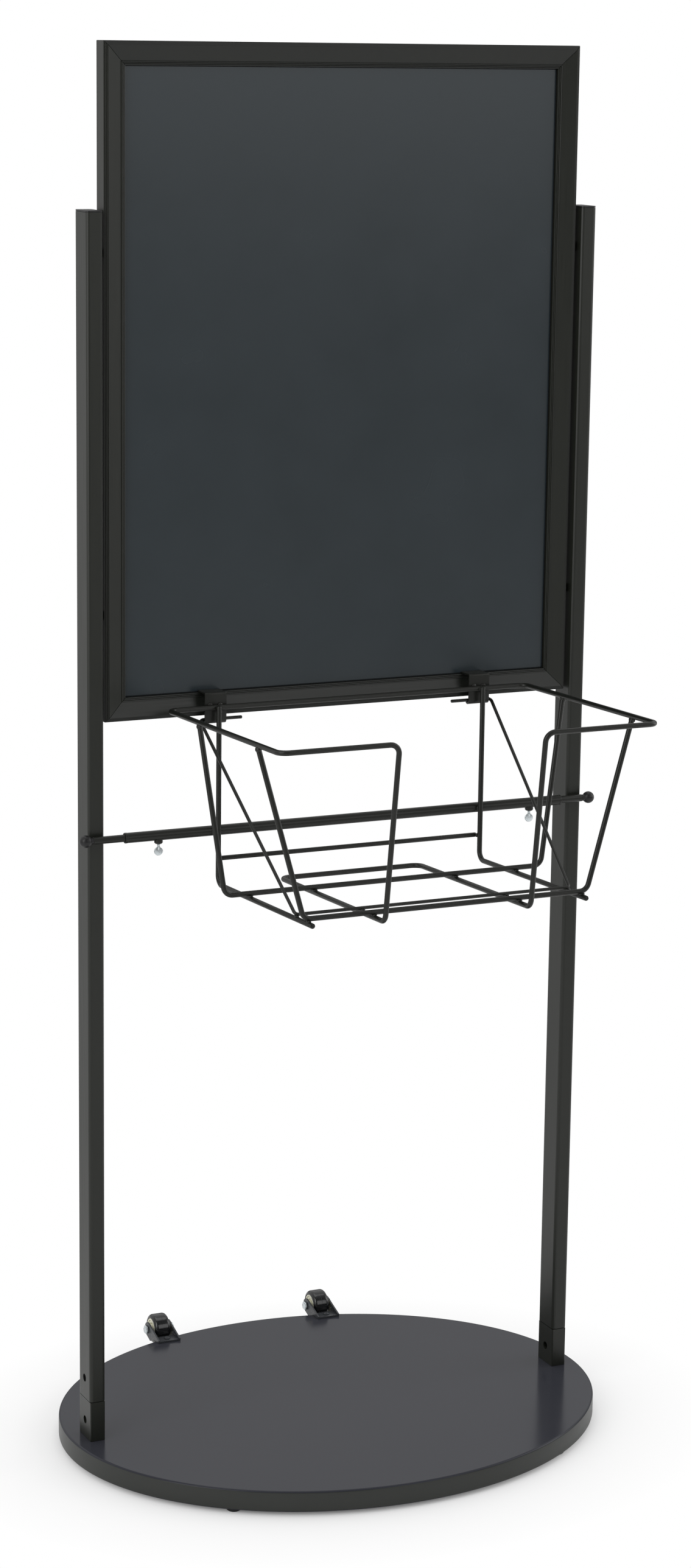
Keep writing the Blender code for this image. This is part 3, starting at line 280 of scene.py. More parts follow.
@dataclass(frozen=True)
class SheetPlastic(Finish):
    """Calendered PVC sheet: smooth and dark, with the slow ripple that the rollers leave."""

    relief: float = 0.05
    depth_mm: float = 0.03
    spread: float = 0.02
    ripple_mm: float = 90.0
    # A real sheet's tooth is far finer; this is as coarse as it needs to show.
    tooth_mm: float = 1.2

    def dress(self, tree: bpy.types.NodeTree, shader: bpy.types.Node) -> None:
        """Add the rollers' ripple and a fine tooth.

        Args:
            tree: The material's node tree.
            shader: Its Principled node.
        """
        place = add_node(tree, "ShaderNodeTexCoord").outputs["Object"]
        ripple = add_node(tree, "ShaderNodeTexNoise", {"Scale": per_mm(self.ripple_mm), "Detail": 2.0},
                          {"Vector": place}).outputs["Fac"]
        tooth = add_node(tree, "ShaderNodeTexNoise", {"Scale": per_mm(self.tooth_mm), "Detail": 2.0},
                         {"Vector": place}).outputs["Fac"]
        self.lay_skin(tree, shader, tooth, ripple, ripple)


@dataclass(frozen=True)
class MouldedPlastic(Finish):
    """Injection moulded plastic: a spark-eroded grain that breaks up the shine."""

    # A mould's grain is finer by half or more; this is as coarse as it needs to show.
    grain_mm: float = 0.8

    def dress(self, tree: bpy.types.NodeTree, shader: bpy.types.Node) -> None:
        """Add the mould's grain.

        Args:
            tree: The material's node tree.
            shader: Its Principled node.
        """
        place = add_node(tree, "ShaderNodeTexCoord").outputs["Object"]
        grain = add_node(tree, "ShaderNodeTexNoise", {"Scale": per_mm(self.grain_mm), "Detail": 3.0},
                         {"Vector": place}).outputs["Fac"]
        self.lay_skin(tree, shader, grain, grain, grain)


@dataclass(frozen=True)
class ZincPlate(Finish):
    """Bright zinc on pressed steel: a cool grey mirror clouded by passivation and handling."""

    relief: float = 0.12
    depth_mm: float = 0.04
    spread: float = 0.08
    cloud_mm: float = 3.5
    # Handling scratches are hair fine; these are as coarse as they need to show.
    scratch_mm: float = 0.5

    def dress(self, tree: bpy.types.NodeTree, shader: bpy.types.Node) -> None:
        """Add passivation clouds and fine scratches.

        Args:
            tree: The material's node tree.
            shader: Its Principled node.
        """
        place = add_node(tree, "ShaderNodeTexCoord").outputs["Object"]
        cloud = add_node(tree, "ShaderNodeTexNoise", {"Scale": per_mm(self.cloud_mm), "Detail": 4.0},
                         {"Vector": place}).outputs["Fac"]
        scratch = add_node(tree, "ShaderNodeTexNoise", {"Scale": per_mm(self.scratch_mm), "Detail": 2.0},
                           {"Vector": place}).outputs["Fac"]
        self.lay_skin(tree, shader, scratch, cloud, cloud)


# Coated steel: satin black wires, glossier dipped forks, and black lock screws painted dead black with no
# shine, as painted shade, so that they read as shaded holes.
POWDER = PowderCoat("black_powder_coat_satin", "black_powder_coat", "#151612", "#1b1c18", 0.36, 0.35)
ENAMEL = PowderCoat("black_gloss_dip_enamel", "black_powder_coat", "#333538", "#393b3e", 0.28, 0.3,
                    peel_mm=4.0)
HOLE_SHADE = PowderCoat("lock_screw_painted_hole_shade", "black_powder_coat", "#050505", "#080808", 0.7, 0.02, peel_mm=0.6)
# Anodised posts and rails: black with a soft grey sheen that runs along the metal; the crosswise rails are a
# touch darker, as painted shade.
UPRIGHT = AnodisedExtrusion("black_anodised_upright", "black_anodised_aluminium", "#181a15", "#1f211b",
                            0.36, 0.4)
CROSSWISE_SHADED = AnodisedExtrusion("black_anodised_crosswise_painted_shade", "black_anodised_aluminium", "#161815", "#1d1f1b",
                              0.36, 0.4, run=Run.X)
# Laminated board: a smooth charcoal face that mirrors the floor faintly, and a rougher, olive edge band whose
# darker colour is painted shade on the board's sides.
BOARD_FACE = Laminate("grey_melamine_laminate", "grey_laminate", "#303137", "#34353b", 0.16, 0.12)
SHADED_EDGE_BAND = Laminate("edge_band_painted_shade", "grey_laminate", "#2b2d2a", "#313330", 0.34, 0.36, pebble_mm=2.2)
# Sign panel: a blue-grey satin sheet on a matt core.
SHEET = SheetPlastic("slate_pvc_sheet_satin", "slate_pvc_sheet", "#1f282c", "#252e33", 0.26, 0.5)
CORE = MouldedPlastic("black_foam_board_core", "black_foam_board", "#181819", "#1d1d1e", 0.75, 0.3,
                      grain_mm=1.6)
# Mouldings: black nylon with a low shine, glossy tyres and cream hubs, and dead black strips that are painted
# shadow in the gap round the panel.
PLASTIC = MouldedPlastic("black_nylon_moulded", "black_plastic", "#111112", "#181819", 0.4, 0.4)
TYRE_SKIN = MouldedPlastic("black_tyre_rubber", "black_rubber", "#0f1011", "#171819", 0.16, 0.6,
                           depth_mm=0.02, grain_mm=2.4)
# Painted shadow: dead black for the strips that stand for the shade round the panel.
SHADOW_GAP_BLACK = MouldedPlastic("painted_shadow_gap_black", "black_rubber", "#0b0b0c", "#101011", 0.7, 0.2, grain_mm=1.0)
HUB_SKIN = MouldedPlastic("cream_nylon_hub", "cream_nylon", "#f1f0dc", "#e9e7d0", 0.4, 0.5, grain_mm=1.4)
# Plated screws and bolts: the only bright metal on the stand.
ZINC = ZincPlate("bright_zinc_plate", "zinc_plated_steel", "#e0e6e8", "#c9d1d4", 0.26, 0.5, 1.0)


def dress_nodes(names: Iterable[str], finish: Finish) -> None:
    """Put a finish on CAD nodes that stay in view.

    Args:
        names: CAD node names.
        finish: Finish that they take.
    """
    for name in names:
        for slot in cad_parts[name].material_slots:
            slot.material = finish.material()
        LOG.info("%s keeps its solid, in %s", name, finish.name)


def place_piece(bm: bmesh.types.BMesh, name: str, body: str, finish: Finish,
                replaced: Sequence[str] = ()) -> bpy.types.Object:
    """Turn a finished bmesh into a piece that rides on a CAD body.

    Args:
        bm: The piece's shape in the row frame; it is freed here.
        name: The piece's name.
        body: CAD body that it rides on.
        finish: Finish that it takes.
        replaced: CAD nodes that it stands for.

    Returns:
        The new object, at the origin, unturned and unscaled.
    """
    bmesh.ops.remove_doubles(bm, verts=bm.verts, dist=MERGE)
    bmesh.ops.dissolve_degenerate(bm, dist=MERGE, edges=bm.edges)
    bmesh.ops.recalc_face_normals(bm, faces=bm.faces)
    mesh = bpy.data.meshes.new(name)
    bm.to_mesh(mesh)
    bm.free()
    mesh.shade_smooth()
    mesh.set_sharp_from_angle(angle=SMOOTH_ANGLE)
    mesh.materials.append(finish.material())
    piece = bpy.data.objects.new(name, mesh)
    bpy.context.scene.collection.objects.link(piece)
    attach(piece, body)
    if replaced:
        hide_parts(*replaced)
    LOG.info("%s: %d faces on %s", name, len(mesh.polygons), body)
    return piece


def soften(points: Profile, radius: float, closed: bool = False, steps: int = 4) -> Points:
    """Round the corners of a flat profile, as deburring or a mould does.

    Args:
        points: Profile corners.
        radius: Largest rounding; short sides get less, so that two corners never meet.
        closed: Whether the profile runs back to its start.
        steps: Segments per corner.

    Returns:
        The rounded profile.
    """
    share_of_side = 0.45
    corners = [Vector(p) for p in points]
    rounded: Points = []
    for index, corner in enumerate(corners):
        if not closed and index in (0, len(corners) - 1):
            rounded.append(tuple(corner))
            continue
        before = corners[index - 1] - corner
        after = corners[(index + 1) % len(corners)] - corner
        reach = min(radius, before.length * share_of_side, after.length * share_of_side)
        start = corner + before.normalized() * reach
        end = corner + after.normalized() * reach
        for step in range(steps + 1):
            share = step / steps
            rounded.append(tuple(start.lerp(corner, share).lerp(corner.lerp(end, share), share)))
    return rounded


def arc(centre: tuple[float, float], radius: float, start: float, end: float, steps: int) -> Points:
    """Give points on an arc of a profile, angles in degrees.

    Args:
        centre: Middle of the arc.
        radius: Its radius.
        start: First angle.
        end: Last angle.
        steps: Number of segments.

    Returns:
        The arc's points.
    """
    angles = [math.radians(start + (end - start) * step / steps) for step in range(steps + 1)]
    return [(centre[0] + radius * math.cos(a), centre[1] + radius * math.sin(a)) for a in angles]


def both_ways(half: Profile) -> Points:
    """Complete a profile with its mirror image below."""
    return [*half, *((r, -z) for r, z in reversed(half))]


def turned(profile: Profile, place: Vector, turn: Matrix, closed: bool = False,
           steps: int = 40) -> bmesh.types.BMesh:
    """Turn a profile of radius and height on a lathe.

    Args:
        profile: Points of radius and height.
        place: Where the profile's origin goes.
        turn: Rotation that lays the lathe's axis.
        closed: Whether the profile runs back to its start, as a ring's does.
        steps: Segments round the piece.

    Returns:
        The turned shape in the row frame.
    """
    bm = bmesh.new()
    verts = [bm.verts.new((r, 0, z)) for r, z in profile]
    pairs = list(zip(verts, verts[1:]))
    if closed:
        pairs.append((verts[-1], verts[0]))
    edges = [bm.edges.new(pair) for pair in pairs]
    bmesh.ops.spin(bm, geom=verts + edges, cent=(0, 0, 0), axis=(0, 0, 1), angle=FULL_TURN, steps=steps,
                   use_merge=True, use_duplicate=False)
    bmesh.ops.remove_doubles(bm, verts=bm.verts, dist=MERGE)
    bmesh.ops.transform(bm, matrix=Matrix.Translation(place) @ turn, verts=bm.verts)
    return bm


def join(parts: Sequence[bmesh.types.BMesh]) -> bmesh.types.BMesh:
    """Gather several shapes into the first one.

    Args:
        parts: Shapes to gather; all but the first are freed.

    Returns:
        The first shape, now holding all of them.
    """
    whole = parts[0]
    for part in parts[1:]:
        spare = bpy.data.meshes.new("spare")
        part.to_mesh(spare)
        part.free()
        whole.from_mesh(spare)
        bpy.data.meshes.remove(spare)
    return whole


def verts_of(geometry: Iterable) -> list:
    """Pick the vertices out of an operator's result."""
    return [g for g in geometry if isinstance(g, bmesh.types.BMVert)]


def edges_of(geometry: Iterable) -> list:
    """Pick the edges whose ends both lie in the same operator's result."""
    ends = set(verts_of(geometry))
    return [g for g in geometry if isinstance(g, bmesh.types.BMEdge) and ends.issuperset(g.verts)]


def run_on(bm: bmesh.types.BMesh, ring: list, step: Vector, shrink: float = 1.0) -> list:
    """Extrude an open ring of edges along a straight step.

    Args:
        bm: Shape that holds the ring.
        ring: Its open edges.
        step: How far the ring goes.
        shrink: Size of the new ring against the old one.

    Returns:
        The new ring's edges.
    """
    made = bmesh.ops.extrude_edge_only(bm, edges=ring)["geom"]
    verts = verts_of(made)
    middle = sum((v.co for v in verts), Vector()) / len(verts)
    bmesh.ops.scale(bm, vec=(shrink,) * 3, space=Matrix.Translation(-middle), verts=verts)
    bmesh.ops.translate(bm, vec=step, verts=verts)
    return edges_of(made)


def swing(bm: bmesh.types.BMesh, ring: list, centre: Vector, axis: Sequence[float], angle: float,
          steps: int) -> list:
    """Spin an open ring of edges about an axis, as a bender does.

    Args:
        bm: Shape that holds the ring.
        ring: Its open edges.
        centre: A point on the axis.
        axis: The axis.
        angle: Angle of the bend.
        steps: Its segments.

    Returns:
        The new ring's edges.
    """
    verts = list({v for edge in ring for v in edge.verts})
    made = bmesh.ops.spin(bm, geom=verts + ring, cent=centre, axis=axis, angle=angle, steps=steps,
                          use_duplicate=False)
    return edges_of(made["geom_last"])


def thicken(bm: bmesh.types.BMesh, height: float, ease: float, steps: int) -> bmesh.types.BMesh:
    """Raise a flat outline to a plate and ease its edges.

    Args:
        bm: Shape that holds one flat face, square to Z.
        height: The plate's thickness.
        ease: Size of its rounded edges.
        steps: Segments across each edge.

    Returns:
        The same shape, now a plate.
    """
    raised = bmesh.ops.extrude_face_region(bm, geom=bm.faces[:])["geom"]
    bmesh.ops.translate(bm, vec=(0, 0, height), verts=verts_of(raised))
    rims = [e for e in bm.edges if abs(e.verts[0].co.z - e.verts[1].co.z) < height / 2]
    bmesh.ops.bevel(bm, geom=rims, offset=ease, segments=steps, profile=0.5, affect="EDGES", material=-1)
    return bm


@dataclass(frozen=True)
class Thread:
    """A cut thread, drawn as rings instead of a helix."""

    radius: float
    pitch: float
    depth: float
    lead: ClassVar[float] = 0.0006
    tip_share: ClassVar[float] = 0.75

    def profile(self, tip: float, end: float, neck: float) -> Points:
        """Give the lathe profile from the flat tip down to the plain shank.

        Args:
            tip: Height of the tip.
            end: Height that the thread runs down to.
            neck: Radius of the plain shank.

        Returns:
            Points of radius and height, the last one at the top of the plain shank.
        """
        points = [(0, tip), (self.radius * self.tip_share, tip)]
        here = tip - self.lead
        while here > end:
            points += [(self.radius, here), (self.radius - self.depth, here - self.pitch / 2)]
            here -= self.pitch
        return points + [(neck, here)]


@dataclass(frozen=True)
class WireRoute:
    """A bent wire: its corners, gauge and bends."""

    corners: tuple[Vector, ...]
    radius: float
    bend: float
    closed: bool = False
    sides: int = 18
    bend_steps: int = 8
    # A cut end's crown, as a share of the radius, and its rings: each one's rise, also as a share of the
    # radius, and its size against the ring before it.
    crown_share: ClassVar[float] = 0.5
    crown_rings: ClassVar[Profile] = ((0.3, 0.88), (0.15, 0.7))
    # A closed wire stops just short of its start, and the last stretch is bridged.
    closing_share: ClassVar[float] = 0.98

    def shape(self) -> bmesh.types.BMesh:
        """Draw the wire: straight runs extruded, corners spun, and cut ends crowned.

        Returns:
            The wire's shape in the row frame.
        """
        bm = bmesh.new()
        count = len(self.corners)
        heading = (self.corners[1] - self.corners[0]).normalized()
        crown = self.radius * self.crown_share
        start = self.corners[0] + heading * crown
        if self.closed:
            start = self.corners[0].lerp(self.corners[1], 0.5)
        bmesh.ops.create_circle(bm, radius=self.radius, segments=self.sides, cap_ends=False)
        turn = Vector((0, 0, 1)).rotation_difference(heading).to_matrix().to_4x4()
        bmesh.ops.transform(bm, matrix=Matrix.Translation(start) @ turn, verts=bm.verts)
        first = ring = list(bm.edges)
        here = start.copy()
        for index in [*range(1, count), 0] if self.closed else range(1, count - 1):
            ring, here = self.bend_at(bm, ring, here, index)
        if self.closed:
            ring = run_on(bm, ring, (start - here) * self.closing_share)
            bmesh.ops.bridge_loops(bm, edges=ring + first)
            return bm
        onward = (self.corners[-1] - here).normalized()
        ring = run_on(bm, ring, self.corners[-1] - here - onward * crown)
        self.close_end(bm, ring, onward)
        self.close_end(bm, first, -heading)
        return bm

    def bend_at(self, bm: bmesh.types.BMesh, ring: list, here: Vector, index: int) -> tuple[list, Vector]:
        """Run up to a corner and spin round it.

        Args:
            bm: The wire's shape.
            ring: Its open end.
            here: Where that end is.
            index: Number of the corner.

        Returns:
            The new open end and where it is.
        """
        corner = self.corners[index]
        onward = self.corners[(index + 1) % len(self.corners)]
        incoming = (corner - here).normalized()
        outgoing = (onward - corner).normalized()
        deflection = incoming.angle(outgoing)
        setback = self.bend * math.tan(deflection / 2)
        entry = corner - incoming * setback
        ring = run_on(bm, ring, entry - here)
        axis = incoming.cross(outgoing).normalized()
        centre = entry + axis.cross(incoming) * self.bend
        ring = swing(bm, ring, centre, axis, deflection, self.bend_steps)
        return ring, corner + outgoing * setback

    def close_end(self, bm: bmesh.types.BMesh, ring: list, heading: Vector) -> None:
        """Crown and close a cut end.

        Args:
            bm: The wire's shape.
            ring: The open end.
            heading: Direction out of the wire.
        """
        for rise, size in self.crown_rings:
            ring = run_on(bm, ring, heading * self.radius * rise, size)
        bmesh.ops.edgeloop_fill(bm, edges=ring)


def sided(word: str) -> tuple[str, str]:
    """Give a node's left and right names."""
    return word + "_left", word + "_right"


@dataclass
class OvalBase:
    """The laminated board on its glides."""

    width: float = 0.664
    depth: float = 0.545
    bottom: float = 0.005
    top: float = 0.030
    edge_round: float = 0.0025
    edge_steps: int = 4
    sides: int = 224
    # Rim faces steeper than this take the edge band, painted darker as shade on the sides.
    shaded_side_slope: float = 0.5
    flat_slope: float = 0.999
    glide_radius: float = 0.009
    glide_crown: float = 0.002
    glide_round: float = 0.0012
    glide_gap: float = 0.0003
    nail_radius: float = 0.002
    nail_point: float = 0.002

    def build(self) -> None:
        """Build the board and its glides, and dress what stays of the solids."""
        self.build_board()
        for name in ("front_left", "front_right", "back_left", "back_right"):
            self.build_glide(name)
        dress_nodes(sided("base_bolt"), ZINC)
        dress_nodes(sided("stub"), UPRIGHT)

    def build_board(self) -> None:
        """Cut the oval, raise it to its thickness and ease both edges."""
        bm = bmesh.new()
        bmesh.ops.create_circle(bm, cap_ends=True, radius=0.5, segments=self.sides)
        bmesh.ops.scale(bm, vec=(self.width, self.depth, 1), verts=bm.verts)
        bmesh.ops.translate(bm, vec=(0, 0, self.bottom), verts=bm.verts)
        thicken(bm, self.top - self.bottom, self.edge_round, self.edge_steps)
        board = place_piece(bm, "oval_board", "base", BOARD_FACE, ["base_board"])
        board.data.materials.append(SHADED_EDGE_BAND.material())
        for face in board.data.polygons:
            # Steep rim faces take the edge band: its darker colour is painted shade on the board's sides.
            face.material_index = int(abs(face.normal.z) < self.shaded_side_slope)
            face.use_smooth = abs(face.normal.z) < self.flat_slope

    def build_glide(self, name: str) -> None:
        """Turn one nail-in glide where its solid is.

        Args:
            name: The glide's row and side.
        """
        low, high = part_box("glide_" + name)
        middle = (low + high) / 2
        seat = self.bottom - self.glide_gap
        outline = [(0, 0), (self.glide_radius - self.glide_crown, 0), (self.glide_radius, self.glide_crown),
                   (self.glide_radius, seat), (self.nail_radius, seat),
                   (self.nail_radius, high.z - self.nail_point), (0, high.z)]
        bm = turned(soften(outline, self.glide_round), Vector((middle.x, middle.y, 0)), Run.Z.turn)
        place_piece(bm, "nail_glide_" + name, "base", PLASTIC, ["glide_" + name])


@dataclass
class SignFrame:
    """Posts, mitred rails and the panel between them: their solids stay and take finishes."""

    levels: tuple[str, str] = ("low", "high")
    ends: tuple[str, str] = ("bottom", "top")
    rail_face: float = 0.0261
    # Sizes of the black strips of painted shadow that line the panel's opening.
    shadow_strip_width: float = 0.0007
    shadow_strip_depth: float = 0.0006
    shadow_strip_round: float = 0.0002
    shadow_strip_gap: float = 0.0004
    shadow_strip_clear: float = 0.00005

    def build(self) -> None:
        """Dress the posts, the frame and the panel, and lay the black strips of painted shadow round the
        panel.
        """
        self.build_shadow_gap_strips()
        dress_nodes(sided("post") + sided("rail"), UPRIGHT)
        # The crosswise rails' slightly darker colour is painted shade.
        dress_nodes(("rail_top", "rail_bottom"), CROSSWISE_SHADED)
        dress_nodes(sided("post_cap"), PLASTIC)
        # The lock screws' dead black is painted shade that makes them read as holes.
        dress_nodes(sided("lock_screw"), HOLE_SHADE)
        for level in self.levels:
            dress_nodes(sided("frame_rivet_" + level), POWDER)
        for end in self.ends:
            dress_nodes(sided("corner_key_" + end), PLASTIC)
        dress_nodes(("front_face_sheet", "rear_face_sheet"), SHEET)
        dress_nodes(("panel_core",), CORE)

    def build_shadow_gap_strips(self) -> None:
        """Lay a thin black strip round the opening on each side: painted shadow, a dark line that stands for
        the shade in the gap between the rails and the panel.
        """
        near = self.shadow_strip_gap
        far = near + self.shadow_strip_depth
        strip = [(0, near), (0, far), (self.shadow_strip_width, far), (self.shadow_strip_width, near)]
        section = soften(strip, self.shadow_strip_round, closed=True)
        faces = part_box("front_face_sheet")[0].y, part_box("rear_face_sheet")[1].y
        # The strips are painted shadow: dead black where the gap between rails and panel falls in shade.
        place_piece(join([self.shadow_gap_strip(face, section) for face in faces]), "painted_shadow_gap_strips", "mast", SHADOW_GAP_BLACK)

    def shadow_gap_strip(self, face: float, section: Profile) -> bmesh.types.BMesh:
        """Draw one black strip of painted shadow by running a rectangle from point to point of its section.

        Args:
            face: Depth of the sheet that the strip lies on.
            section: Points of how far inside the rails and how far off the sheet.

        Returns:
            The strip's shape; its last rectangle lies on its first and merges with it later.
        """
        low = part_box("rail_left")[0]
        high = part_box("rail_right")[1]
        middle = (low + high) / 2
        half = (high - low) / 2
        bm = bmesh.new()
        verts = [bm.verts.new((x, 0, middle.z + z)) for x, z in ((-1, -1), (1, -1), (1, 1), (-1, 1))]
        ring = [bm.edges.new((verts[n - 1], verts[n])) for n in range(len(verts))]
        for number, (across, out) in enumerate([*section, section[0]]):
            if number:
                made = bmesh.ops.extrude_edge_only(bm, edges=ring)["geom"]
                verts = verts_of(made)
                ring = edges_of(made)
            inset = self.rail_face + self.shadow_strip_clear + across
            for vert in verts:
                x = math.copysign(half.x - inset, vert.co.x)
                z = middle.z + math.copysign(half.z - inset, vert.co.z - middle.z)
                vert.co = x, math.copysign(abs(face) + out, face), z
        return bm


@dataclass
class WireBasket:
    """The hung basket: bent wires, sheet hooks and the welds that hold them together."""

    origin: Vector = field(default_factory=lambda: Vector((0.004, 0, 0.884)))
    wire: float = 0.003
    back_wire: float = 0.0027
    brace: float = 0.0019
    brace_sides: int = 14
    bend: float = 0.011
    brace_bend: float = 0.0045
    gap: float = 0.0003
    rim_gap: float = 0.00045
    rim_half: float = 0.2262
    rim_back_y: float = -0.0293
    rim_front_y: float = -0.343
    rim_z: float = 0.0118
    rim_rise: float = 0.011
    floor_z: float = -0.1927
    floor_rise: float = 0.0135
    gate_half_top: float = 0.0878
    gate_half_bottom: float = 0.0885
    gate_foot_y: float = -0.315
    gate_back_y: float = -0.034
    leg_half: float = 0.167
    leg_y: float = -0.0356
    leg_front_y: float = -0.3
    # Each U wire: depth of its upper ends, depth of its foot and half the foot's width.
    rear_u: Triple = (-0.122, -0.13, 0.1985)
    front_u: Triple = (-0.285, -0.288, 0.173)
    brace_foot_y: float = -0.256
    brace_foot_half: float = 0.1685
    brace_inboard: float = 0.021
    back_wire_drop: float = 0.1755
    back_wire_inset: float = 0.002
    bar_drop: float = 0.1431
    hook_width: float = 0.0265
    hook_sheet: float = 0.002
    hook_ease: float = 0.0003
    hook_ease_steps: int = 2
    hook_front_y: float = -0.026
    hook_under: float = 0.0264
    hook_flange_y: float = -0.004
    hook_bend_steps: int = 6
    curl_y: float = -0.0212
    curl_z: float = -0.0028
    curl_sweep: float = math.radians(170)
    curl_steps: int = 16
    # Half sizes of the weld beads, and where the odd ones sit against the leg's top.
    floor_bead: Triple = (0.0031, 0.0031, 0.0019)
    upright_bead: Triple = (0.003, 0.0019, 0.003)
    back_bead: Triple = (0.0022, 0.0019, 0.0024)
    hook_bead: Triple = (0.0026, 0.0016, 0.0024)
    hook_bead_places: Profile = ((-0.0068, 0.0), (0.0052, 0.0006))
    hook_bead_proud: float = 0.0006
    leg_bead: Triple = (0.0034, 0.0026, 0.0028)
    leg_bead_place: Triple = (0.002, 0.0042, -0.0042)
    rim_bead: Triple = (0.0034, 0.0039, 0.0036)
    rim_bead_sink: float = 0.0008
    bead_seed: int = 7
    bead_cuts: int = 3
    bead_smoothing: float = 0.5
    bead_swell: float = 0.16
    bead_wave: float = 3.1
    bead_phase: float = 5.0

    def build(self) -> None:
        """Build the wires, hooks and welds."""
        for node, route in self.routes().items():
            place_piece(route.shape(), "bent_" + node, "mast", POWDER, [node])
        for side in Side:
            self.build_hook(side)
        self.build_welds()

    def at(self, x: float, y: float, z: float) -> Vector:
        """Give a point of the basket in the row frame."""
        return self.origin + Vector((x, y, z))

    def floor_at(self, y: float) -> float:
        """Give the height of the lengthwise floor wires, which climb to the front."""
        return self.floor_z + self.floor_rise * (self.leg_y - y) / (self.leg_y - self.leg_front_y)

    def rim_at(self, y: float) -> float:
        """Give the height of the rim, which climbs to the front."""
        return self.rim_z + self.rim_rise * (self.rim_back_y - y) / (self.rim_back_y - self.rim_front_y)

    def mirrored(self, half: Sequence[Triple]) -> tuple[Vector, ...]:
        """Complete a route from its left half.

        Args:
            half: Corners of the left half, in the basket's own frame.

        Returns:
            All corners in the row frame.
        """
        whole = list(half) + [(-x, y, z) for x, y, z in reversed(half)]
        return tuple(self.at(*corner) for corner in whole)

    def routes(self) -> dict[str, WireRoute]:
        """Lay out the wires from the basket's sizes.

        Returns:
            Each wire's route, by the CAD node that it stands for.
        """
        front_z = self.rim_at(self.rim_front_y)
        rim = [
            (-self.rim_half, self.rim_back_y, self.rim_z),
            (-self.rim_half, self.rim_front_y, front_z),
            (-self.gate_half_top, self.rim_front_y, front_z),
            (-self.gate_half_bottom, self.gate_foot_y, self.floor_at(self.gate_foot_y)),
            (-self.gate_half_bottom, self.gate_back_y, self.floor_at(self.gate_back_y)),
        ]
        made = {"rim_wire": WireRoute(self.mirrored(rim), self.wire, self.bend, True)}
        for node, shape in (("rear_u_wire", self.rear_u), ("front_u_wire", self.front_u)):
            top_y, foot_y, foot_half = shape
            top = (-self.rim_half, top_y, self.rim_at(top_y) - self.wire - self.rim_gap)
            foot = (-foot_half, foot_y, self.floor_at(foot_y) + 2 * self.wire + self.gap)
            made[node] = WireRoute(self.mirrored([top, foot]), self.wire, self.bend)
        for side in Side:
            x = side.value * self.leg_half
            leg = (self.at(x, self.leg_y, self.rim_z + self.wire), self.at(x, self.leg_y, self.floor_z),
                   self.at(x, self.leg_front_y, self.floor_at(self.leg_front_y)))
            made["leg_wire_" + side.word] = WireRoute(leg, self.wire, self.bend)
        back = (-self.leg_half + self.back_wire_inset, self.leg_y + self.wire + self.gap + self.back_wire,
                self.rim_z - self.back_wire_drop)
        made["back_wire"] = WireRoute(self.mirrored([back]), self.back_wire, self.bend)
        brace_foot_z = self.floor_at(self.brace_foot_y) + self.wire + self.brace + self.gap
        brace = [
            (-(self.leg_half - self.hook_width / 2 - self.brace_inboard), self.curl_y, self.curl_z),
            (-(self.leg_half + self.hook_width / 2 + self.brace_bend), self.curl_y, self.curl_z),
            (-self.brace_foot_half, self.brace_foot_y, brace_foot_z),
        ]
        made["brace_wire"] = WireRoute(self.mirrored(brace), self.brace, self.brace_bend,
                                       sides=self.brace_sides)
        return made

    def build_hook(self, side: Side) -> None:
        """Bend one hook from a strip: flange, front plate and curl, then give it its thickness.

        Args:
            side: Which of the two hooks.
        """
        bm = bmesh.new()
        x = side.value * self.leg_half
        half = self.hook_width / 2
        sheet = self.hook_sheet
        fold_y = self.hook_front_y + sheet
        across = (1, 0, 0)
        corners = [self.at(x + end, self.hook_flange_y, self.hook_under + sheet) for end in (-half, half)]
        edge = [bm.edges.new([bm.verts.new(corner) for corner in corners])]
        edge = run_on(bm, edge, Vector((0, fold_y - self.hook_flange_y, 0)))
        edge = swing(bm, edge, self.at(0, fold_y, self.hook_under), across, math.pi / 2, self.hook_bend_steps)
        edge = run_on(bm, edge, Vector((0, 0, self.curl_z - self.hook_under)))
        swing(bm, edge, self.at(0, self.curl_y, self.curl_z), across, self.curl_sweep, self.curl_steps)
        bmesh.ops.recalc_face_normals(bm, faces=bm.faces)
        outward = min(bm.faces, key=lambda f: f.calc_center_median().y).normal.y < 0
        bmesh.ops.solidify(bm, geom=bm.faces[:], thickness=sheet if outward else -sheet)
        bmesh.ops.recalc_face_normals(bm, faces=bm.faces)
        sharp = [e for e in bm.edges if len(e.link_faces) == 2 and e.calc_face_angle() > SMOOTH_ANGLE]
        bmesh.ops.bevel(bm, geom=sharp, offset=self.hook_ease, segments=self.hook_ease_steps, profile=0.5,
                        affect="EDGES", material=-1)
        place_piece(bm, "sheet_hook_" + side.word, "mast", POWDER, ["hook_" + side.word])

    def weld_places(self) -> list[tuple[Vector, Triple]]:
        """Find where two wires, or a wire and a hook, are welded.

        Returns:
            Each weld's place and the half sizes of its bead.
        """
        spots: list[tuple[Vector, Triple]] = []
        contact = self.leg_y + self.wire
        for side in Side:
            sign = side.value
            for half in (self.leg_half, self.gate_half_bottom):
                for y in (self.rear_u[1], self.front_u[1], self.brace_foot_y):
                    spots.append((self.at(sign * half, y, self.floor_at(y) + self.wire), self.floor_bead))
            leg = sign * self.leg_half
            for z in (self.rim_z - self.bar_drop, self.rim_z):
                spots.append((self.at(leg, contact, z), self.upright_bead))
            end = leg - sign * self.back_wire_inset
            spots.append((self.at(end, contact, self.rim_z - self.back_wire_drop), self.back_bead))
            for offset, drop in self.hook_bead_places:
                front = self.hook_front_y - self.hook_bead_proud
                spots.append((self.at(leg + offset, front, self.rim_z + self.wire - drop), self.hook_bead))
            x, y, z = self.leg_bead_place
            spots.append((self.at(leg + x, self.leg_y + y, self.rim_z + z), self.leg_bead))
            for top_y, _, _ in (self.rear_u, self.front_u):
                under = self.rim_at(top_y) - self.wire - self.rim_bead_sink
                spots.append((self.at(sign * self.rim_half, top_y, under), self.rim_bead))
        return spots

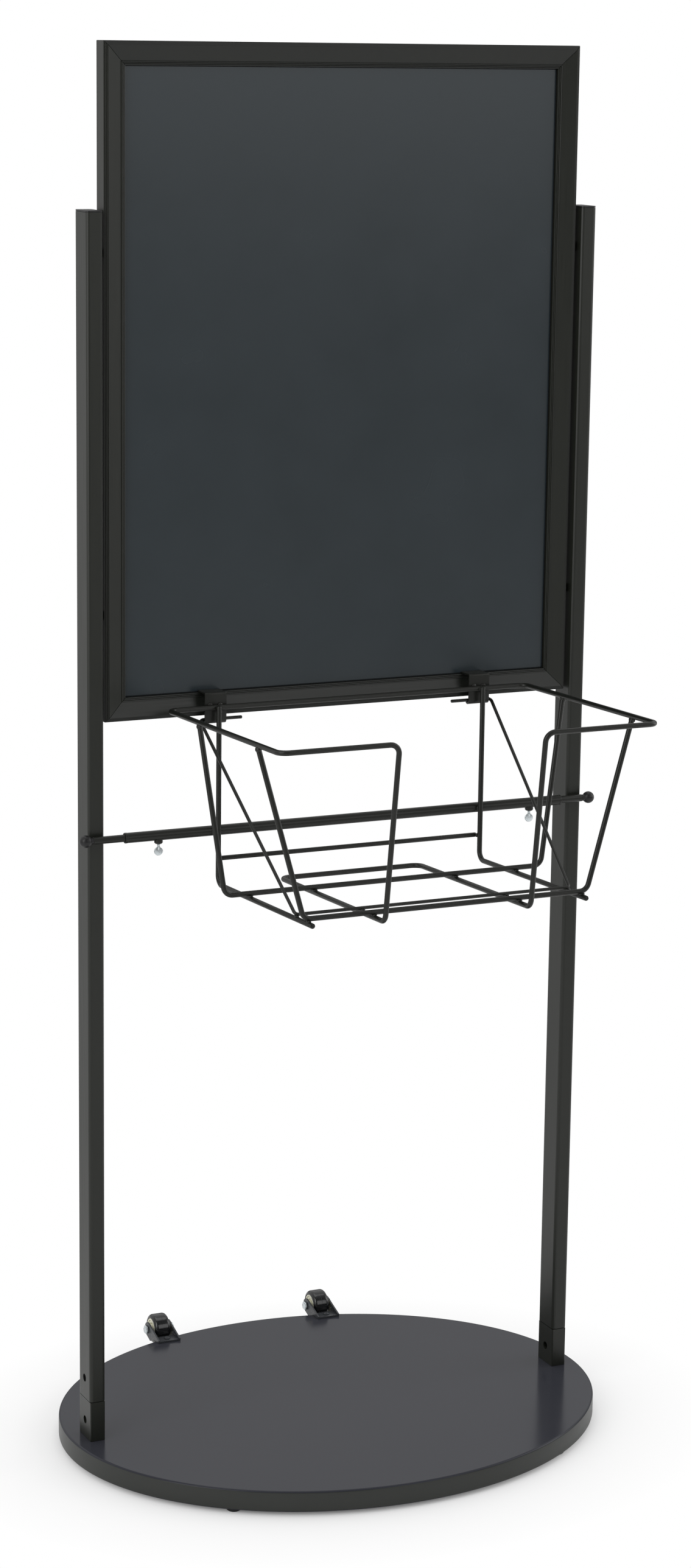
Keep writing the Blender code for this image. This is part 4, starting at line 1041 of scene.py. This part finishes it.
    def build_welds(self) -> None:
        """Build the weld beads: small uneven lumps of metal under the powder."""
        dice = random.Random(self.bead_seed)
        beads = []
        for place, half_sizes in self.weld_places():
            bead = bmesh.new()
            bmesh.ops.create_icosphere(bead, subdivisions=self.bead_cuts, radius=1.0)
            lump = Vector((dice.uniform(-1, 1), dice.uniform(-1, 1), dice.uniform(-1, 1)))
            for vert in bead.verts:
                wave = math.sin(self.bead_wave * vert.co.dot(lump) + self.bead_phase * lump.x)
                vert.co = vert.co * (1 + self.bead_swell * wave)
            bmesh.ops.smooth_vert(bead, verts=bead.verts, factor=self.bead_smoothing,
                                  use_axis_x=True, use_axis_y=True, use_axis_z=True)
            bmesh.ops.scale(bead, vec=half_sizes, verts=bead.verts)
            bmesh.ops.translate(bead, vec=place, verts=bead.verts)
            beads.append(bead)
        place_piece(join(beads), "basket_weld_beads", "mast", POWDER)


@dataclass
class StayBar:
    """The telescopic bar behind the basket, with its ball ends and thumb screws."""

    y: float = -0.0262
    z: float = 0.7527
    tube_radius: float = 0.0061
    bore_radius: float = 0.0047
    lip_reach: float = 0.003
    lip_step: float = 0.0002
    lip_round: float = 0.0007
    rod_radius: float = 0.00425
    rod_round: float = 0.0006
    ball_radius: float = 0.0071
    ball_steps: int = 26
    neck_radius: float = 0.0039
    # Heights on the boss: its top and its bore start at these shares of the tube's radius.
    collar_top_share: float = 0.45
    collar_bore_share: float = 0.95
    collar_radius: float = 0.0049
    collar_foot_radius: float = 0.0037
    collar_drop: float = 0.0097
    collar_taper: float = 0.0013
    collar_round: float = 0.0006
    thread: Thread = Thread(radius=0.0017, pitch=0.0008, depth=0.0002)
    thread_room: float = 0.00035
    thread_sides: int = 28
    tip_gap: float = 0.0003
    shoulder_share: float = 0.95
    shoulder_reach: float = 0.002
    tail_share: float = 0.5
    spade_radius: float = 0.0053
    spade_sides: int = 36
    spade_drop: float = 0.0182
    spade_neck_drop: float = 0.0135
    spade_thickness: float = 0.0022
    spade_narrow: float = 0.4
    spade_ease: float = 0.0007
    spade_ease_steps: int = 3

    def build(self) -> None:
        """Build the tube, and a rod, ball, collar and screw for each side."""
        self.build_tube()
        for side in Side:
            self.build_rod(side)
            self.build_ball(side)
            self.build_collar(side)
            self.build_screw(side)

    def build_tube(self) -> None:
        """Turn the outer tube, with a rolled lip at each end that closes in on the rod."""
        low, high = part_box("bar_tube")
        half = (high.x - low.x) / 2
        lip = half - self.lip_reach
        rolled = [(self.tube_radius - self.lip_step, lip), (self.tube_radius, lip + self.lip_step),
                  (self.tube_radius, half), (self.rod_radius + self.lip_step, half),
                  (self.bore_radius, half - self.lip_reach / 2)]
        middle = Vector(((low.x + high.x) / 2, self.y, self.z))
        wall = soften(both_ways(rolled), self.lip_round, closed=True)
        place_piece(turned(wall, middle, Run.X.turn, closed=True), "stay_tube", "mast", POWDER, ["bar_tube"])

    def build_rod(self, side: Side) -> None:
        """Turn one sliding rod.

        Args:
            side: Which end of the bar.
        """
        node = "bar_rod_" + side.word
        low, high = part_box(node)
        rod = [(0, low.x), (self.rod_radius, low.x), (self.rod_radius, high.x), (0, high.x)]
        bm = turned(soften(rod, self.rod_round), Vector((0, self.y, self.z)), Run.X.turn)
        place_piece(bm, "sliding_" + node, "rod_" + side.word, POWDER, [node])

    def build_ball(self, side: Side) -> None:
        """Turn one ball end with its neck.

        Args:
            side: Which end of the bar.
        """
        node = "bar_ball_" + side.word
        low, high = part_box(node)
        outer = high.x if side is Side.RIGHT else low.x
        neck_end = low.x - high.x + self.ball_radius
        angle = math.degrees(math.acos(self.neck_radius / self.ball_radius))
        ball = arc((0, 0), self.ball_radius, 90, -angle, self.ball_steps)
        ball[0] = (0, self.ball_radius)
        ball += [(self.neck_radius, neck_end), (0, neck_end)]
        middle = Vector((outer - side.value * self.ball_radius, self.y, self.z))
        turn = Run.X.turn if side is Side.RIGHT else Matrix.Rotation(math.pi, 4, "Z") @ Run.X.turn
        place_piece(turned(ball, middle, turn), "end_" + node, "rod_" + side.word, PLASTIC, [node])

    def screw_place(self, side: Side) -> Vector:
        """Give the point on the bar's axis above a thumb screw."""
        low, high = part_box("thumb_screw_" + side.word)
        return Vector(((low.x + high.x) / 2, self.y, self.z))

    def build_collar(self, side: Side) -> None:
        """Turn one screw boss, which tapers in at its foot.

        Args:
            side: Which end of the bar.
        """
        bore = self.thread.radius + self.thread_room
        boss = [(self.collar_radius, -self.tube_radius * self.collar_top_share),
                (self.collar_radius, -self.collar_drop + self.collar_taper),
                (self.collar_foot_radius, -self.collar_drop), (bore, -self.collar_drop),
                (bore, -self.tube_radius * self.collar_bore_share)]
        boss = soften(boss, self.collar_round, closed=True)
        bm = turned(boss, self.screw_place(side), Run.Z.turn, closed=True)
        place_piece(bm, "screw_boss_" + side.word, "mast", POWDER, ["bar_collar_" + side.word])

    def build_screw(self, side: Side) -> None:
        """Build one thumb screw: a threaded shank, a shoulder and a flat spade with eased edges.

        Args:
            side: Which end of the bar.
        """
        node = "thumb_screw_" + side.word
        place = self.screw_place(side)
        shoulder = self.thread.radius * self.shoulder_share
        thread_end = -self.spade_neck_drop + 2 * self.thread.pitch
        shank = self.thread.profile(-self.rod_radius - self.tip_gap, thread_end, shoulder)
        shank += [(shoulder, -self.spade_neck_drop - self.shoulder_reach),
                  (self.thread.radius * self.tail_share, -self.spade_drop), (0, -self.spade_drop)]
        stem = turned(shank, place, Run.Z.turn, steps=self.thread_sides)
        spade = bmesh.new()
        bmesh.ops.create_circle(spade, cap_ends=True, radius=self.spade_radius, segments=self.spade_sides)
        for vert in spade.verts:
            if vert.co.y > 0:
                vert.co.x *= 1 - self.spade_narrow * (vert.co.y / self.spade_radius) ** 2
        thicken(spade, self.spade_thickness, self.spade_ease, self.spade_ease_steps)
        bmesh.ops.translate(spade, vec=(0, 0, -self.spade_thickness / 2), verts=spade.verts)
        foot = Matrix.Translation(place + Vector((0, 0, -self.spade_drop)))
        bmesh.ops.transform(spade, matrix=foot @ Matrix.Rotation(math.pi / 2, 4, "X"), verts=spade.verts)
        place_piece(join([stem, spade]), "spade_" + node, "thumb_" + side.word, ZINC, [node])


@dataclass
class TiltWheels:
    """The two wheels on the back edge, their forks, axle bolts, nuts and wood screws."""

    radius: float = 0.0185
    width: float = 0.021
    shoulder: float = 0.0045
    shoulder_steps: int = 10
    tread_sink: float = 0.0001
    tread_share: float = 0.4
    # The parting ridge: heights of its foot, its flank and its crest on the tread, and how far it stands out.
    ridge_steps: Triple = (0.0008, 0.0004, 0.0001)
    ridge_rise: float = 0.00004
    tyre_bore: float = 0.0135
    tyre_lip: tuple[float, float] = (0.0006, 0.0002)
    tyre_sides: int = 72
    hub_fit: float = 0.0003
    hub_bore: float = 0.0034
    hub_round: float = 0.0003
    hub_round_steps: int = 3
    hub_sides: int = 64
    boss_radius: float = 0.0065
    moat_width: float = 0.0012
    moat_depth: float = 0.0022
    web_depth: float = 0.0008
    groove_width: float = 0.0006
    groove_depth: float = 0.0016
    rim_width: float = 0.002
    axle_thread: Thread = Thread(radius=0.003, pitch=0.001, depth=0.0003)
    axle_sides: int = 28
    thread_past_nut: float = 0.001
    head_overlap: float = 0.0005
    hex_radius: float = 0.0056
    hex_height: float = 0.0032
    hex_ease: float = 0.0005
    hex_ease_steps: int = 2
    hex_face_inset: float = 0.0006
    head_dome: float = 0.0004
    flat_slope: float = 0.99
    pan_height: float = 0.0018
    pan_edge: float = 0.0006
    pan_share: float = 0.62
    pan_round: float = 0.0005
    pan_sides: int = 32
    recess_mouth: float = 0.0014
    recess_floor: float = 0.0009
    recess_depths: tuple[float, float] = (0.0011, 0.0009)
    wood_shank: float = 0.0019
    wood_point: float = 0.003

    def build(self) -> None:
        """Build the wheels and their fasteners, and dress the forks."""
        for side in Side:
            low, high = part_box("wheel_tyre_" + side.word)
            middle = (low + high) / 2
            self.build_tyre(side, middle)
            self.build_hub(side, middle)
            self.build_axle(side, middle)
            self.build_wood_screw(side)
        dress_nodes(sided("wheel_fork"), ENAMEL)

    def build_tyre(self, side: Side, middle: Vector) -> None:
        """Turn one tyre, with the parting ridge of its mould.

        Args:
            side: Which wheel.
            middle: The wheel's centre.
        """
        half = self.width / 2
        tread = self.radius - self.tread_sink
        foot, flank, crest = self.ridge_steps
        lip_width, lip_drop = self.tyre_lip
        upper = [(self.tyre_bore, half - lip_drop), (self.tyre_bore + lip_width, half)]
        upper += arc((tread - self.shoulder, half - self.shoulder), self.shoulder, 90, 0, self.shoulder_steps)
        upper += [(tread, half * self.tread_share), (tread, foot), (tread, flank),
                  (tread + self.ridge_rise, crest)]
        bm = turned(both_ways(upper), middle, Run.X.turn, closed=True, steps=self.tyre_sides)
        place_piece(bm, "tyre_" + side.word, "wheel_" + side.word, TYRE_SKIN, ["wheel_tyre_" + side.word])

    def build_hub(self, side: Side, middle: Vector) -> None:
        """Turn one hub: a stepped face of rings round the boss.

        Args:
            side: Which wheel.
            middle: The wheel's centre.
        """
        rim = self.tyre_bore - self.hub_fit
        face = self.width / 2 - self.hub_fit
        boss_face = (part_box("wheel_hub_" + side.word)[1] - middle).x
        moat = self.boss_radius + self.moat_width
        ledge = rim - self.rim_width
        groove = ledge - self.groove_width
        upper = [(self.hub_bore, boss_face), (self.boss_radius, boss_face),
                 (self.boss_radius, face - self.moat_depth), (moat, face - self.moat_depth),
                 (moat, face - self.web_depth), (groove, face - self.web_depth),
                 (groove, face - self.groove_depth), (ledge, face - self.groove_depth),
                 (ledge, face), (rim, face)]
        section = soften(both_ways(upper), self.hub_round, closed=True, steps=self.hub_round_steps)
        bm = turned(section, middle, Run.X.turn, closed=True, steps=self.hub_sides)
        place_piece(bm, "hub_" + side.word, "wheel_" + side.word, HUB_SKIN, ["wheel_hub_" + side.word])

    def hex_prism(self, dome: float) -> bmesh.types.BMesh:
        """Forge a hexagon with eased corners, on the Z axis from 0 to its height.

        Args:
            dome: How far the middles of its flat faces stand out.

        Returns:
            The hexagon's shape.
        """
        bm = bmesh.new()
        bmesh.ops.create_circle(bm, cap_ends=True, radius=self.hex_radius, segments=6)
        thicken(bm, self.hex_height, self.hex_ease, self.hex_ease_steps)
        caps = [f for f in bm.faces if abs(f.normal.z) > self.flat_slope]
        bmesh.ops.inset_region(bm, faces=caps, thickness=self.hex_face_inset, depth=dome)
        return bm

    def build_axle(self, side: Side, middle: Vector) -> None:
        """Build one hex bolt with its threaded tail, and its nut.

        Args:
            side: Which wheel.
            middle: The wheel's centre.
        """
        bolt_low, bolt_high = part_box("axle_bolt_" + side.word)
        nut_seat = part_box("axle_nut_" + side.word)[0].x
        turn = Run.X.turn
        head = self.hex_prism(self.head_dome)
        seat = bolt_low.x + self.hex_height
        flip = Matrix.Translation((seat, middle.y, middle.z)) @ turn @ Matrix.Rotation(math.pi, 4, "X")
        bmesh.ops.transform(head, matrix=flip, verts=head.verts)
        radius = self.axle_thread.radius
        shank_end = seat - self.head_overlap
        tail = self.axle_thread.profile(bolt_high.x, nut_seat - self.thread_past_nut, radius)
        tail += [(radius, shank_end), (0, shank_end)]
        shank = turned(tail, Vector((0, middle.y, middle.z)), turn, steps=self.axle_sides)
        bolt_name = "axle_hex_bolt_" + side.word
        place_piece(join([head, shank]), bolt_name, "base", ZINC, ["axle_bolt_" + side.word])
        nut = self.hex_prism(0.0)
        against_fork = Matrix.Translation((nut_seat, middle.y, middle.z)) @ turn
        bmesh.ops.transform(nut, matrix=against_fork, verts=nut.verts)
        place_piece(nut, "axle_hex_nut_" + side.word, "base", ZINC, ["axle_nut_" + side.word])

    def build_wood_screw(self, side: Side) -> None:
        """Turn one pan-head wood screw with a drive recess.

        Args:
            side: Which fork.
        """
        node = "fork_screw_" + side.word
        low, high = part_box(node)
        middle = (low + high) / 2
        seat = high.z - self.pan_height
        half = (high.x - low.x) / 2
        deepest, shallower = self.recess_depths
        recess = [(0, high.z - deepest), (self.recess_floor, high.z - shallower), (self.recess_mouth, high.z)]
        pan = [(half * self.pan_share, high.z), (half, seat + self.pan_edge), (half, seat),
               (self.wood_shank, seat), (self.wood_shank, low.z + self.wood_point), (0, low.z)]
        outline = recess + soften(pan, self.pan_round)
        bm = turned(outline, Vector((middle.x, middle.y, 0)), Run.Z.turn, steps=self.pan_sides)
        place_piece(bm, "fork_wood_" + node, "base", ENAMEL, [node])


@dataclass(frozen=True)
class SoftLamp:
    """A soft square lamp: its place, the point it faces, its side in metres and its power."""

    name: str
    place: Triple
    aim: Triple
    size: float
    watts: float

    def hang(self) -> None:
        """Hang the lamp in the studio."""
        data = bpy.data.lights.new(self.name, "AREA")
        data.size = self.size
        data.energy = self.watts
        lamp = bpy.data.objects.new(self.name, data)
        lamp.location = self.place
        lamp.rotation_euler = (Vector(self.aim) - Vector(self.place)).to_track_quat("-Z", "Y").to_euler()
        bpy.context.scene.collection.objects.link(lamp)


@dataclass
class Studio:
    """White floor, soft lamps and the camera at the photograph's angle."""

    lamps: ClassVar[tuple[SoftLamp, ...]] = (
        SoftLamp("key_left", (-2.6, -1.4, 2.6), (0, 0, 0.9), 2.2, 34.0),
        SoftLamp("fill_right", (2.8, -0.9, 2.2), (0, 0, 0.9), 2.2, 20.0),
        SoftLamp("top_soft", (0.2, 0.3, 3.6), (0, 0, 0.0), 2.4, 20.0),
        SoftLamp("front_card", (1.9, -4.2, 2.6), (0, 0, 1.2), 2.6, 30.0),
        SoftLamp("edge_left", (-2.5, -1.15, 1.2), (-0.3, 0, 1.1), 1.3, 9.0),
        SoftLamp("edge_right", (2.6, -0.3, 1.2), (0.3, 0, 1.1), 1.3, 9.0),
    )
    # The photograph's longer side and the solved focal length, both in its pixels.
    long_side: ClassVar[int] = 2576
    focal_pixels: float = 5725.741
    azimuth: float = -0.4338
    pitch: float = 0.2112
    roll: float = -0.0128
    eye: Vector = field(default_factory=lambda: Vector((-1.6585, -3.6064, 1.6398)))
    sensor: float = 36.0
    floor_half: float = 30.0
    floor_paint: str = "#f4f4f4"
    floor_roughness: float = 0.9
    oval: tuple[float, float] = (0.332, 0.2725)
    # The floor's own glow for the camera: little under the board, half at its rim, full further out.
    rim_glow: float = 0.5
    under_glow: float = 0.1
    under_reach: tuple[float, float] = (0.95, 1.03)
    shadow_reach: float = 1.5
    # What reflections see: a pale floor behind, a room that dims to the front and low down, a pale left wall.
    mirrored_glow: float = 0.65
    mirrored_reach: tuple[float, float] = (0.3, 1.2)
    room_reach: float = 0.7
    room_front: float = 0.2
    room_back: float = 0.9
    horizon_low: float = 0.1
    horizon_high: float = 0.42
    horizon_dim: float = 0.05
    wall_left: float = 0.75
    wall_reach: tuple[float, float] = (-0.35, 0.0)

    def build(self) -> None:
        """Set up the view, the floor, the light and the camera."""
        bpy.context.scene.view_settings.view_transform = "Standard"
        self.build_floor()
        self.build_world()
        for lamp in self.lamps:
            lamp.hang()
        self.build_camera()

    def build_floor(self) -> None:
        """Lay the white floor, which keeps a soft shadow."""
        bm = bmesh.new()
        bmesh.ops.create_grid(bm, x_segments=2, y_segments=2, size=self.floor_half)
        mesh = bpy.data.meshes.new("studio_floor")
        bm.to_mesh(mesh)
        bm.free()
        mesh.materials.append(self.floor_material())
        floor = bpy.data.objects.new("studio_floor", mesh)
        bpy.context.scene.collection.objects.link(floor)

    def floor_material(self) -> bpy.types.Material:
        """Mix white paint with a glow that the camera sees round the board and reflections see behind it.

        Returns:
            The floor's material.
        """
        paint = bpy.data.materials.new("white_studio_floor")
        paint.use_nodes = True
        tree = paint.node_tree
        shader = tree.nodes["Principled BSDF"]
        shader.inputs["Base Color"].default_value = linear(self.floor_paint)
        shader.inputs["Roughness"].default_value = self.floor_roughness
        rays = add_node(tree, "ShaderNodeLightPath").outputs
        place = add_node(tree, "ShaderNodeTexCoord").outputs["Object"]
        squeeze = (1 / self.oval[0], 1 / self.oval[1], 1)
        oval = add_node(tree, "ShaderNodeMapping", {"Scale": squeeze}, {"Vector": place})
        reach = add_node(tree, "ShaderNodeVectorMath", {"operation": "LENGTH"}, {0: oval.outputs["Vector"]})
        near = add_node(tree, "ShaderNodeMapRange", {
            "From Min": self.under_reach[0], "From Max": self.under_reach[1],
            "To Min": self.under_glow, "To Max": self.rim_glow}, {"Value": reach.outputs["Value"]})
        far = add_node(tree, "ShaderNodeMapRange", {
            "From Min": self.under_reach[1], "From Max": self.shadow_reach,
            "To Min": 0.0, "To Max": 1 - self.rim_glow}, {"Value": reach.outputs["Value"]})
        spread = add_node(tree, "ShaderNodeMath", {"operation": "ADD"},
                          {0: near.outputs["Result"], 1: far.outputs["Result"]})
        seen = add_node(tree, "ShaderNodeMath", {"operation": "MULTIPLY"},
                        {0: rays["Is Camera Ray"], 1: spread.outputs[0]})
        depth = add_node(tree, "ShaderNodeSeparateXYZ", {}, {"Vector": place}).outputs["Y"]
        behind = add_node(tree, "ShaderNodeMapRange", {
            "From Min": self.mirrored_reach[0], "From Max": self.mirrored_reach[1]}, {"Value": depth})
        mirrored = add_node(tree, "ShaderNodeMath", {"operation": "MULTIPLY"},
                            {0: rays["Is Glossy Ray"], 1: behind.outputs["Result"]})
        share = add_node(tree, "ShaderNodeMath", {"operation": "MAXIMUM"},
                         {0: seen.outputs[0], 1: mirrored.outputs[0]})
        level = add_node(tree, "ShaderNodeMix", {2: self.mirrored_glow, 3: 1.0}, {0: rays["Is Camera Ray"]})
        glow = add_node(tree, "ShaderNodeEmission", {"Color": linear(WHITE)}, {"Strength": level.outputs[0]})
        mix = add_node(tree, "ShaderNodeMixShader", {},
                       {0: share.outputs[0], 1: shader.outputs[0], 2: glow.outputs[0]})
        tree.links.new(mix.outputs[0], tree.nodes["Material Output"].inputs["Surface"])
        return paint

    def build_world(self) -> None:
        """Surround the stand with a room, pale behind it and dim in front, that the camera sees as white."""
        world = bpy.data.worlds.new("white_studio")
        bpy.context.scene.world = world
        world.use_nodes = True
        tree = world.node_tree
        heading = add_node(tree, "ShaderNodeTexCoord").outputs["Generated"]
        axes = add_node(tree, "ShaderNodeSeparateXYZ", {}, {"Vector": heading}).outputs
        room = add_node(tree, "ShaderNodeMapRange", {
            "interpolation_type": "SMOOTHSTEP", "From Min": -self.room_reach, "From Max": self.room_reach,
            "To Min": self.room_front, "To Max": self.room_back}, {"Value": axes["Y"]})
        rays = add_node(tree, "ShaderNodeLightPath").outputs
        wall = add_node(tree, "ShaderNodeMapRange", {
            "From Min": self.wall_reach[0], "From Max": self.wall_reach[1],
            "To Min": self.wall_left, "To Max": self.horizon_dim}, {"Value": axes["X"]})
        horizon = add_node(tree, "ShaderNodeMapRange", {
            "From Min": self.horizon_low, "From Max": self.horizon_high, "To Max": 1.0},
            {"Value": axes["Z"], "To Min": wall.outputs["Result"]})
        mirrored = add_node(tree, "ShaderNodeMix", {2: 1.0},
                            {0: rays["Is Glossy Ray"], 3: horizon.outputs["Result"]})
        walls = add_node(tree, "ShaderNodeMath", {"operation": "MULTIPLY"},
                         {0: room.outputs["Result"], 1: mirrored.outputs[0]})
        clear = add_node(tree, "ShaderNodeMath", {"operation": "MAXIMUM"},
                         {0: rays["Is Camera Ray"], 1: rays["Is Transmission Ray"]})
        level = add_node(tree, "ShaderNodeMix", {3: 1.0}, {0: clear.outputs[0], 2: walls.outputs[0]})
        tree.links.new(level.outputs[0], tree.nodes["Background"].inputs["Strength"])
        tree.nodes["Background"].inputs["Color"].default_value = linear(WHITE)

    def build_camera(self) -> None:
        """Set the camera where the photograph's edges put it."""
        level = math.cos(self.pitch)
        ahead = Vector((-math.sin(self.azimuth) * level, math.cos(self.azimuth) * level,
                        -math.sin(self.pitch)))
        across = Vector((math.cos(self.azimuth), math.sin(self.azimuth), 0))
        down = ahead.cross(across)
        right = across * math.cos(self.roll) + down * math.sin(self.roll)
        up = across * math.sin(self.roll) - down * math.cos(self.roll)
        data = bpy.data.cameras.new("photo_camera")
        data.sensor_width = self.sensor
        data.lens = self.focal_pixels / self.long_side * self.sensor
        camera = bpy.data.objects.new("photo_camera", data)
        pose = Matrix((right, up, -ahead)).transposed().to_4x4()
        camera.matrix_world = Matrix.Translation(self.eye) @ pose
        bpy.context.scene.collection.objects.link(camera)
        bpy.context.scene.camera = camera


def main() -> None:
    """Build every sub-assembly, then the studio, and log what was built."""
    logging.basicConfig(level=logging.INFO, format="%(name)s: %(message)s")
    for assembly in (OvalBase(), SignFrame(), WireBasket(), StayBar(), TiltWheels(), Studio()):
        assembly.build()
        LOG.info("%s built", type(assembly).__name__)


if __name__ == "__main__":
    main()
